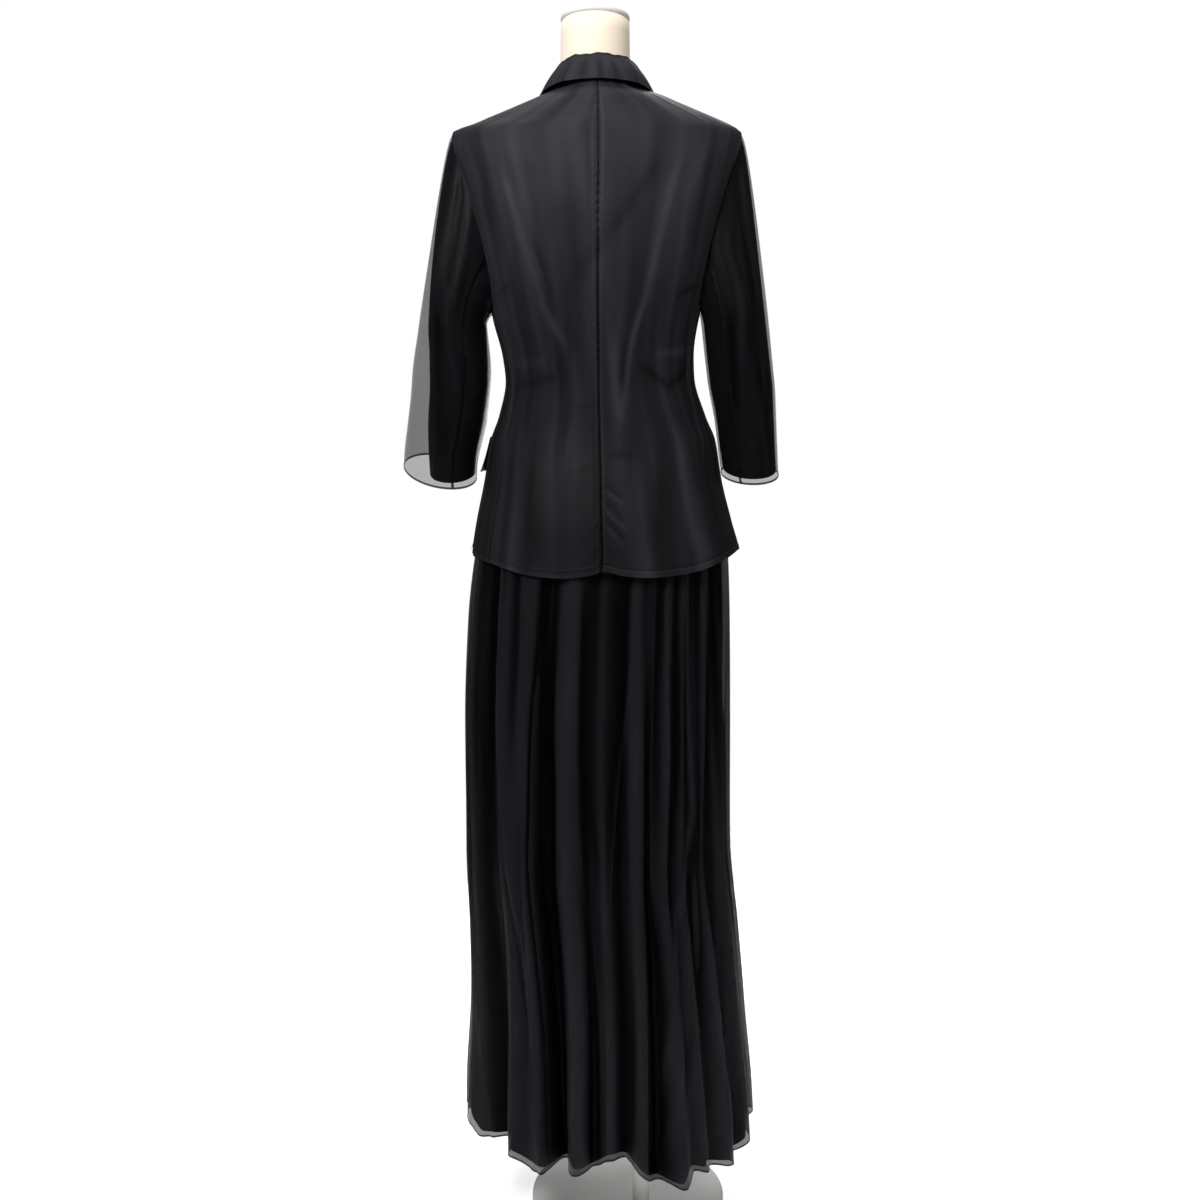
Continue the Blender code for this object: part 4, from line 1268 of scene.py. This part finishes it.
def sleeve_sheet(side, rings, inset, cuff, droop):
    """A sleeve: part is the way round it from the outside of the arm through the back,
    and up runs from 0 at the cuff over 1 at the underarm to 2 at the armhole."""
    top = rings[-1][0]

    def ring_point(part, z):
        centre, half, middle, depth = read(rings, z)
        angle = 2 * np.pi * part
        x = centre + side * half * np.cos(angle)
        y = middle - depth * np.sin(angle)
        return np.stack([x, y, z], -1)

    def sheet(part, up):
        low = np.clip(up, -0.02, 1.0)
        slope = droop[0] * np.cos(2 * np.pi * (part - droop[1])) * (1 - low)
        hanging = ring_point(part, cuff + (top - cuff) * low - slope)
        t = np.clip(2 - up, 0, 1)[..., None]
        edge = armhole(side, part, inset)
        end = ring_point(part, np.full(np.shape(part), top))
        way = np.linalg.norm(end - edge, axis=-1, keepdims=True)
        outward = way * np.array([0.10 * side, 0.0, -0.02])
        below = ring_point(part, np.full(np.shape(part), top - 0.02))
        downward = way * 1.05 * (below - end) / 0.02
        cap = (
            (2 * t**3 - 3 * t**2 + 1) * edge
            + (t**3 - 2 * t**2 + t) * outward
            + (3 * t**2 - 2 * t**3) * end
            + (t**3 - t**2) * downward
        )
        return np.where((up > 1)[..., None], cap, hanging)

    return sheet


def sleeve_halves(columns):
    """The under and the top half of a sleeve, as places round it from seam to seam."""
    first, second = SLEEVE_SEAMS
    gap = SLEEVE_SEAM_GAP
    under = first + gap + (second - first - 2 * gap) * fine_parts(columns)
    over = second + gap + (1 + first - second - 2 * gap) * fine_parts(columns + 24)
    return ("under", under), ("top", over)


def round_creases(lines, part, up):
    """Creases of a sleeve, whose places round it start again at 1."""
    total = 0 * part
    for turn in (-1, 0, 1):
        total = total + creases(lines, part % 1 + turn, up, SLEEVE_MM_ROUND, 0.12)
    return total


SLEEVE_UPS = np.concatenate([np.linspace(0, 1, 56), np.linspace(1, 2, 52)[1:]])


def build_sleeve_linings():
    for side, word, rings, cuff, lines in (
        (-1, "left", LEFT_INNER, 1.0455, LEFT_LINING_CREASES),
        (1, "right", RIGHT_INNER, 1.0505, RIGHT_LINING_CREASES),
    ):
        sheet = sleeve_sheet(side, rings, LINING_INSET, cuff, LINING_CUFFS)

        def relief(part, up):
            calm = ease_in(-up, -1.95, -1.6)
            return np.minimum(1.4 * round_creases(lines, part, up) * calm, 0.0014)

        for kind, parts in sleeve_halves(40):
            node = f"sleeve_lining_{kind}_{word}"
            made = shell(
                f"{node}_cloth", sheet, parts, SLEEVE_UPS, LINING_THICK, lining_cloth, node,
                relief,
            )


build_sleeve_linings()

# ---------------------------------------------------------------------------------
# The sheer sleeves: a wide top half and a narrow under half of see-through crepe in
# narrow closed seams, set into the armhole, with a narrow rolled hem.
LEFT_SLEEVE = (
    (1.030, -0.2160, 0.0480, 0.004, 0.043),
    (1.062, -0.2145, 0.0485, 0.004, 0.044),
    (1.115, -0.2050, 0.0510, 0.001, 0.047),
    (1.167, -0.1985, 0.0510, -0.002, 0.050),
    (1.235, -0.1950, 0.0440, -0.004, 0.054),
)
RIGHT_SLEEVE = (
    (1.030, 0.1960, 0.0370, 0.004, 0.041),
    (1.062, 0.1925, 0.0385, 0.004, 0.042),
    (1.115, 0.1870, 0.0405, 0.001, 0.045),
    (1.167, 0.1800, 0.0435, -0.002, 0.048),
    (1.235, 0.1715, 0.0435, -0.004, 0.054),
)
SLEEVE_INSET = 0.0004
SEAM_TAPE = 0.0065  # half the width of a closed seam, as a part of the way round
TAPE_THICK = 0.0004
TAPE_DEPTH = 0.0007  # how far the seam's folded edges lie inside the sleeve
LEFT_SLEEVE_CREASES = (
    (1.6, 5, ((0.08, 1.95), (0.12, 1.60), (0.15, 1.25))),
    (-1.6, 5, ((0.12, 1.95), (0.17, 1.60), (0.20, 1.30))),
    (1.4, 4, ((0.20, 1.90), (0.24, 1.50), (0.25, 1.25))),
    (-1.2, 4, ((0.27, 1.60), (0.29, 1.10))),
    (1.0, 4, ((0.22, 1.20), (0.26, 0.85), (0.29, 0.60))),
    (1.0, 5, ((0.10, 0.90), (0.14, 0.55), (0.20, 0.20))),
    (-1.2, 5, ((0.19, 1.05), (0.22, 0.60), (0.26, 0.25))),
    (1.2, 7, ((0.60, 1.60), (0.55, 0.80), (0.52, 0.10))),
    (1.2, 7, ((0.85, 1.70), (0.88, 0.90), (0.84, 0.10))),
)
RIGHT_SLEEVE_CREASES = (
    (1.6, 5, ((0.06, 1.95), (0.10, 1.60), (0.12, 1.20))),
    (-1.8, 5, ((0.11, 1.90), (0.16, 1.60), (0.15, 1.20))),
    (1.4, 4, ((0.24, 1.70), (0.22, 1.20), (0.26, 0.80))),
    (-1.6, 5, ((0.20, 1.60), (0.18, 1.20), (0.21, 0.90))),
    (-1.4, 4, ((0.28, 1.20), (0.30, 0.50))),
    (1.0, 4, ((0.13, 1.00), (0.16, 0.50))),
    (-1.2, 5, ((0.17, 0.75), (0.13, 0.10))),
    (1.2, 5, ((0.20, 0.60), (0.16, 0.05))),
    (1.2, 7, ((0.58, 1.60), (0.56, 0.80), (0.54, 0.10))),
    (1.2, 7, ((0.84, 1.70), (0.86, 0.90), (0.83, 0.10))),
)


def build_sleeves():
    for side, word, rings, cuff, droop, lines in (
        (-1, "left", LEFT_SLEEVE, 1.0475, LEFT_CUFF, LEFT_SLEEVE_CREASES),
        (1, "right", RIGHT_SLEEVE, 1.0445, RIGHT_CUFF, RIGHT_SLEEVE_CREASES),
    ):
        sheet = sleeve_sheet(side, rings, SLEEVE_INSET, cuff, droop)

        def relief(part, up):
            calm = ease_in(-up, -1.98, -1.75)
            stand = np.maximum(1.4 * round_creases(lines, part, up) * calm, -0.0012)
            for seam in SLEEVE_SEAMS:
                gap = np.abs(part % 1 - seam) * SLEEVE_MM_ROUND / 1000
                stand = stand + 1.6 * pucker(gap, up * 0.19, 0.009, 0.013)
                stand = stand - 0.0012 * np.exp(-((gap / 0.0018) ** 2))
            return stand

        for kind, parts in sleeve_halves(44):
            node = f"sleeve_{kind}_{word}"
            made = shell(
                f"{node}_cloth", sheet, parts, SLEEVE_UPS, SHEER_THICK, sheer_cloth, node,
                relief,
            )
            hem = edge_roll(
                f"cuff_hem_{kind}_{word}", sheet, parts, 0.0, HEM_HALF, sheer_layers, relief
            )
            if kind == "under":
                for seam, place in zip(SLEEVE_SEAMS, ("back", "front")):
                    tape = seam + SEAM_TAPE * np.linspace(-1, 1, 5)
                    folded = shell(
                        f"sleeve_seam_{place}_{word}", sheet, tape, SLEEVE_UPS[:-2], TAPE_THICK,
                        sheer_layers, relief=relief, lift=-TAPE_DEPTH,
                    )


build_sleeves()

# ---------------------------------------------------------------------------------
# The collar: one doubled piece of crepe, its stand sewn to the neckline and its leaf
# turned down over it. From the centre back (0) round to each front: angle, then the
# side, back-to-front and up places of the stand's foot, the roll and the leaf's edge.
COLLAR = (
    (0, 0.000, -0.0605, 1.5240, 0.000, -0.0530, 1.5645, 0.000, -0.0690, 1.5325),
    (30, 0.030, -0.0530, 1.5240, 0.027, -0.0475, 1.5630, 0.0385, -0.0620, 1.5305),
    (60, 0.0510, -0.0320, 1.5240, 0.044, -0.0290, 1.5580, 0.063, -0.0400, 1.5250),
    (90, 0.0590, 0.0000, 1.5250, 0.0525, 0.000, 1.5500, 0.074, -0.0010, 1.5210),
    (115, 0.052, 0.0380, 1.5230, 0.053, 0.0380, 1.5380, 0.086, 0.0420, 1.5070),
    (140, 0.0465, 0.0570, 1.4970, 0.051, 0.0640, 1.5070, 0.084, 0.0760, 1.4570),
)
COLLAR_X = -0.007
ROLL_RADIUS = 0.0021
ROLL_START = 0.85  # the way down at which the roll starts
ROLL_END = 1.15
ROLL_SPAN = 0.3
LEAF_SPAN = 0.85
COLLAR_THICK = 0.0012
# Creases down the leaf: height and half width in millimetres, places (turn, down)
COLLAR_CREASES = (
    (-1.3, 2.5, ((-33, 2.0), (-31, 0.9))),
    (1.0, 3.5, ((-24, 2.0), (-23, 0.9))),
    (-1.6, 2.0, ((-15, 2.0), (-14, 0.9))),
    (1.2, 3.5, ((-7, 2.0), (-7, 0.9))),
    (-1.0, 2.5, ((1, 2.0), (2, 0.9))),
    (0.8, 3.0, ((8, 2.0), (9, 0.9))),
    (-1.3, 2.5, ((17, 2.0), (15, 0.9))),
    (1.1, 3.5, ((26, 2.0), (24, 0.9))),
    (-0.9, 3.0, ((41, 2.0), (36, 0.9))),
    (0.9, 4.0, ((-48, 2.0), (-44, 0.9))),
    (-0.8, 5.0, ((66, 2.0), (60, 0.9))),
    (-0.8, 5.0, ((-68, 2.0), (-61, 0.9))),
)


def collar_sheet(turn, down):
    """The collar: turn is the angle round the neck, down runs from the stand's foot
    (0) over the roll (1) to the leaf's edge (2)."""
    half = np.array(COLLAR)
    other = half[:0:-1] * [-1, -1, 1, 1, -1, 1, 1, -1, 1, 1]
    values = read(np.vstack([other, half]), turn)
    stand, roll, leaf = (
        np.stack([values[k] + COLLAR_X, values[k + 1], values[k + 2]], -1) for k in (0, 3, 6)
    )
    uneven = 0.0007 * np.sin(turn * 0.17 + 0.6) + 0.0004 * np.sin(turn * 0.43 + 2.0)
    roll[..., 2] += uneven * (1 - ease_in(np.abs(turn), 40, 70))
    angle = np.radians(turn)
    out = np.stack([np.sin(angle), -np.cos(angle), 0 * angle], -1)
    down = down[..., None]
    over = np.pi * np.clip((down - ROLL_START) / ROLL_SPAN, 0, 1)
    curl = roll - out * ROLL_RADIUS * np.cos(over)
    curl = curl + np.array([0, 0, 1.0]) * ROLL_RADIUS * (np.sin(over) - 1)
    first = stand + (roll - out * ROLL_RADIUS - [0, 0, ROLL_RADIUS] - stand) * down / ROLL_START
    swell = 0.002 * np.sin(np.pi * np.clip((down - ROLL_END) / LEAF_SPAN, 0, 1))
    start = roll + out * ROLL_RADIUS - [0, 0, ROLL_RADIUS]
    last = start + (leaf - start) * (down - ROLL_END) / LEAF_SPAN + out * swell
    return np.where(down < ROLL_START, first, np.where(down > ROLL_END, last, curl))


def collar_relief(turn, down):
    leaf = ease_in(down, 1.02, 1.5)
    return 0.65 * creases(COLLAR_CREASES, turn, down, 1.3, 0.2) * leaf


def build_collar():
    turns = np.linspace(-138, 138, 220)
    downs = np.concatenate(
        [
            np.linspace(0, ROLL_START, 14),
            np.linspace(ROLL_START, ROLL_END, 18)[1:],
            np.linspace(ROLL_END, 2, 30)[1:],
        ]
    )
    made = shell(
        "collar_cloth", collar_sheet, turns, downs, COLLAR_THICK, jacket_cloth,
        "collar", collar_relief,
    )


build_collar()

# ---------------------------------------------------------------------------------
# The lapels: each a plain doubled leaf of its own that lies on the upper corner of a
# front, from just beside the opening's edge outwards. Its roll is not modelled.
LAPEL_WIDTH = 0.062
LAPEL_FOOT = 1.324
LAPEL_TOP = 1.450
LAPEL_INSET = 0.002  # how far beside the opening's edge it starts
LAPEL_STAND = 0.002  # off the line of the front where it starts, and twice that at its tip


def build_lapels():
    for side, word in ((-1, "left"), (1, "right")):

        def sheet(part, z):
            width = LAPEL_WIDTH * ease_in(z, 1.28, 1.46)
            across = np.maximum(read(OPENING, z)[0], 0) + LAPEL_INSET + width * part
            theta = front_angle(across, z)
            out = front_step(theta, side) + LAPEL_STAND + LAPEL_STAND * part
            return jacket_point(theta * side, z, out)

        made = shell(
            f"lapel_{word}_cloth", sheet, np.linspace(0, 1, 40), np.linspace(LAPEL_FOOT, LAPEL_TOP, 60),
            COLLAR_THICK, jacket_cloth, f"lapel_{word}",
        )


build_lapels()

# ---------------------------------------------------------------------------------
# The pocket flaps: a doubled flap of crepe sewn on each hip, whose rear corner stands
# off and shows as a small point beside the body.
FLAP_TOP = 1.092
FLAP_FOOT = 1.047
FLAP_DROP = 0.045
FLAP_SWEEP = 50  # the angle that a flap covers
FLAP_STAND = 0.0026  # off the line of the panel under it


def build_flaps():
    for side, word, rear, flare in ((-1, "left", 93, 0.006), (1, "right", 106, 0.002)):

        def sheet(part, z):
            drop = (FLAP_TOP - z) / FLAP_DROP
            theta = rear + FLAP_SWEEP * part
            return jacket_point(theta * side, z, FLAP_STAND + flare * drop**2 * (1 - part) ** 2)

        made = shell(
            f"pocket_flap_{word}_cloth", sheet, np.linspace(0, 1, 60), np.linspace(FLAP_FOOT, FLAP_TOP, 30),
            COLLAR_THICK, jacket_cloth, f"pocket_flap_{word}",
        )


build_flaps()

# ---------------------------------------------------------------------------------
# The buttons: three polished black ones with a raised rim and four holes, each sewn on
# with a cross of thread. Each button is its height and its stand-off from the cloth.
BUTTONS = ((1.262, 0.0003), (1.196, 0.0008), (1.130, 0.0003))
BUTTON_RADIUS = 0.0075
BUTTON_THICK = 0.003
HOLE_RADIUS = 0.0008
HOLE_OFFSET = 0.0013
FRONT_HALF = 0.0006  # from the middle of the front's cloth to its face
THREAD_LOW = 0.0017
THREAD_RISE = 0.0006
THREAD_RADIUS = 0.00028
BUTTON_PROFILE = (
    (0.90, 0.0000),
    (0.97, 0.0003),
    (1.00, 0.0009),
    (1.00, 0.0020),
    (0.97, 0.0027),
    (0.91, BUTTON_THICK),
    (0.84, 0.0028),
    (0.74, 0.0021),
    (0.60, 0.0019),
    (0.30, 0.0018),
)


def button_gloss():
    material, tree, shader = finish_shader("button_gloss", (0.010, 0.010, 0.011), 0.16)
    place = add_node(tree, "ShaderNodeTexCoord")
    wear = add_node(
        tree,
        "ShaderNodeTexNoise",
        {"Vector": place.outputs["Object"], "Scale": 700.0, "Detail": 3.0},
    )
    tint(tree, shader, wear.outputs["Fac"], (0.008, 0.008, 0.009), (0.013, 0.013, 0.014))
    return material


def cut_holes(button, spot, right, up, out):
    """Cuts the four holes through a button, all with one cutter."""
    points, faces = [], []
    angle = np.arange(12)[:, None] * np.pi / 6
    for sx in (-1, 1):
        for sy in (-1, 1):
            centre = spot + right * sx * HOLE_OFFSET + up * sy * HOLE_OFFSET
            edge = centre + HOLE_RADIUS * (right * np.cos(angle) + up * np.sin(angle))
            made, sides = joined_rings([edge - out * 0.001, edge + out * (BUTTON_THICK + 0.001)])
            faces += [tuple(corner + len(points) for corner in side) for side in sides]
            points += made.tolist()
    mesh = bpy.data.meshes.new("holes")
    mesh.from_pydata(points, [], faces)
    cutter = bpy.data.objects.new("holes", mesh)
    bpy.context.scene.collection.objects.link(cutter)
    cut = button.modifiers.new("holes", "BOOLEAN")
    cut.operation = "DIFFERENCE"
    cut.solver = "EXACT"
    cut.object = cutter
    bpy.context.view_layer.update()
    graph = bpy.context.evaluated_depsgraph_get()
    result = bpy.data.meshes.new_from_object(button.evaluated_get(graph))
    button.modifiers.clear()
    button.data = result
    bpy.data.objects.remove(cutter, do_unlink=True)


def build_buttons():
    gloss = button_gloss()
    thread = cloth_finish("button_thread", (0.012, 0.012, 0.014), 0.1, 0.0, roughness=0.6, gloss=0.3)
    for number, (height, gap) in enumerate(BUTTONS, 1):
        places = np.array([height, height - BUTTON_RADIUS, height + BUTTON_RADIUS])
        spot, low, high = jacket_point(np.full(3, 180.0), places, OVERLAP_STEP)
        up = (high - low) / np.linalg.norm(high - low)
        right = np.array([-1.0, 0.0, 0.0])
        out = np.cross(right, up)
        base = spot + out * (FRONT_HALF + gap)
        angle = np.arange(48)[:, None] * np.pi / 24
        edge = right * np.cos(angle) + up * np.sin(angle)
        rings = [base + edge * BUTTON_RADIUS * share + out * lift for share, lift in BUTTON_PROFILE]
        points, faces = joined_rings(rings)
        name = f"button_{number}"
        made = finished(f"{name}_disc", points, faces, gloss, name, sharp=35)
        cut_holes(made, base, right, up, out)
        build_thread(f"{name}_thread", base, right, up, out, thread)


def build_thread(name, base, right, up, out, material):
    """Two crossed strands between opposite holes, each a low bent tube."""
    points, faces = [], []
    for sign in (-1, 1):
        line = (right + up * sign) / math.sqrt(2)
        side = np.cross(out, line)
        reach = HOLE_OFFSET * math.sqrt(2)
        rings = []
        for step in np.linspace(-1, 1, 9):
            height = THREAD_LOW + THREAD_RISE * math.cos(step * math.pi / 2)
            centre = base + line * reach * step + out * height
            turn = np.arange(6)[:, None] * np.pi / 3
            rings.append(centre + THREAD_RADIUS * (side * np.cos(turn) + out * np.sin(turn)))
        made, sides = joined_rings(rings)
        faces += [tuple(corner + len(points) for corner in side_face) for side_face in sides]
        points += made.tolist()
    finished(name, points, faces, material, None)


build_buttons()

# ---------------------------------------------------------------------------------
# The stitches: a row of black thread that holds the jacket's hem, panel by panel. Each
# run is instances of one small bar along a curve, made real.
STITCH_SPACING = 0.0026
STITCH_HEIGHT = 0.0072  # above the hem's edge


def stitch_tree():
    """Geometry nodes that lay bars of thread along a curve."""
    tree = bpy.data.node_groups.new("stitch_row", "GeometryNodeTree")
    face = tree.interface
    face.new_socket("Geometry", in_out="INPUT", socket_type="NodeSocketGeometry")
    sizes = (("Spacing", STITCH_SPACING), ("Stitch length", 0.0018), ("Thread radius", 0.00018))
    for label, value in sizes:
        socket = face.new_socket(label, in_out="INPUT", socket_type="NodeSocketFloat")
        socket.default_value = value
    face.new_socket("Material", in_out="INPUT", socket_type="NodeSocketMaterial")
    face.new_socket("Geometry", in_out="OUTPUT", socket_type="NodeSocketGeometry")
    start = tree.nodes.new("NodeGroupInput")
    end = tree.nodes.new("NodeGroupOutput")
    points = tree.nodes.new("GeometryNodeCurveToPoints")
    points.mode = "LENGTH"
    bar = tree.nodes.new("GeometryNodeMeshCylinder")
    bar.inputs["Vertices"].default_value = 5
    place = tree.nodes.new("GeometryNodeInstanceOnPoints")
    real = tree.nodes.new("GeometryNodeRealizeInstances")
    coat = tree.nodes.new("GeometryNodeSetMaterial")
    link = tree.links.new
    link(start.outputs["Geometry"], points.inputs["Curve"])
    link(start.outputs["Spacing"], points.inputs["Length"])
    link(start.outputs["Stitch length"], bar.inputs["Depth"])
    link(start.outputs["Thread radius"], bar.inputs["Radius"])
    link(points.outputs["Points"], place.inputs["Points"])
    link(points.outputs["Rotation"], place.inputs["Rotation"])
    link(bar.outputs["Mesh"], place.inputs["Instance"])
    link(place.outputs["Instances"], real.inputs["Geometry"])
    link(real.outputs["Geometry"], coat.inputs["Geometry"])
    link(start.outputs["Material"], coat.inputs["Material"])
    link(coat.outputs["Geometry"], end.inputs["Geometry"])
    return tree


def stitch_row(name, rows, tree, material):
    """Stitches along rows of points, as one plain mesh."""
    curve = bpy.data.curves.new(name, "CURVE")
    curve.dimensions = "3D"
    for row in rows:
        spline = curve.splines.new("POLY")
        spline.points.add(len(row) - 1)
        spline.points.foreach_set("co", np.c_[row, np.ones(len(row))].ravel())
    guide = bpy.data.objects.new(f"{name}_guide", curve)
    bpy.context.scene.collection.objects.link(guide)
    maker = guide.modifiers.new("stitches", "NODES")
    maker.node_group = tree
    sockets = {item.name: item.identifier for item in tree.interface.items_tree if item.in_out == "INPUT"}
    maker[sockets["Spacing"]] = STITCH_SPACING
    maker[sockets["Material"]] = material
    bpy.context.view_layer.update()
    graph = bpy.context.evaluated_depsgraph_get()
    mesh = bpy.data.meshes.new_from_object(guide.evaluated_get(graph))
    mesh.name = name
    bpy.data.objects.remove(guide, do_unlink=True)
    made = bpy.data.objects.new(name, mesh)
    bpy.context.scene.collection.objects.link(made)
    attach(made, "root")


def build_stitches():
    tree = stitch_tree()
    thread = bpy.data.materials["button_thread"]
    rows = []
    for side in (-1, 1):
        for low, high in ((0.3, 55.5), (58.0, 123.5), (125.5, 170.0)):
            theta = np.linspace(low, high, 160)
            z = np.full(160, JACKET_HEM + STITCH_HEIGHT)
            stand = jacket_relief(theta * side, z) + hem_fold(z) + front_step(theta, side)
            rows.append(jacket_point(theta * side, z, stand + JACKET_THICK / 2 + 0.0001))
    stitch_row("jacket_hem_stitches", rows, tree, thread)


build_stitches()

# ---------------------------------------------------------------------------------
# The studio: a plain pale floor under a white surround, a main soft light high on the
# camera's left, a weaker one on its right, one overhead, one high on the far side and a
# low one there for the base.
FLOOR_RADIUS = 1.3


def build_floor():
    mesh = bpy.data.meshes.new("floor")
    rim = round_ring((0, 0), FLOOR_RADIUS, 0.0)
    mesh.from_pydata(rim.tolist(), [], [tuple(range(len(rim)))])
    material, _, shader = finish_shader("floor_paint", (0.86, 0.86, 0.86), 0.9)
    shader.inputs["Emission Color"].default_value = (1, 1, 1, 1)
    shader.inputs["Emission Strength"].default_value = 0.45
    shader.inputs["Specular IOR Level"].default_value = 0.1
    mesh.materials.append(material)
    floor = bpy.data.objects.new("floor", mesh)
    bpy.context.scene.collection.objects.link(floor)


def soft_light(name, place, aim, size, power):
    light = bpy.data.lights.new(name, "AREA")
    light.shape = "DISK"
    light.size = size
    light.energy = power
    lamp = bpy.data.objects.new(name, light)
    lamp.location = place
    direction = np.array(aim, float) - np.array(place, float)
    flat = math.hypot(direction[0], direction[1])
    lamp.rotation_euler = (
        math.atan2(flat, -direction[2]),
        0,
        math.atan2(direction[1], direction[0]) - math.pi / 2,
    )
    lamp.visible_camera = False
    bpy.context.scene.collection.objects.link(lamp)


def white_surround(seen, lit):
    """A world that looks white and lights the object more weakly."""
    world = bpy.data.worlds.new("surround")
    world.use_nodes = True
    tree = world.node_tree
    back = tree.nodes["Background"]
    back.inputs["Color"].default_value = (1, 1, 1, 1)
    path = tree.nodes.new("ShaderNodeLightPath")
    mix = tree.nodes.new("ShaderNodeMapRange")
    mix.inputs["To Min"].default_value = lit
    mix.inputs["To Max"].default_value = seen
    tree.links.new(path.outputs["Is Camera Ray"], mix.inputs["Value"])
    tree.links.new(mix.outputs["Result"], back.inputs["Strength"])
    bpy.context.scene.world = world


build_floor()
soft_light("key", (-0.9, -1.8, 2.7), (0, 0, 1.35), 0.9, 66)
soft_light("fill", (1.9, -1.9, 2.3), (0, 0, 1.3), 1.2, 16)
soft_light("overhead", (0, 0.2, 3.4), (0, 0, 0), 2.6, 60)
soft_light("far_side", (0.3, 2.4, 3.3), (0, 0, 1.1), 1.6, 34)
soft_light("low", (0.2, 2.0, 0.8), (0.03, 0, 0.0), 0.8, 18)
white_surround(seen=1.0, lit=0.18)
bpy.context.scene.view_settings.view_transform = "Standard"
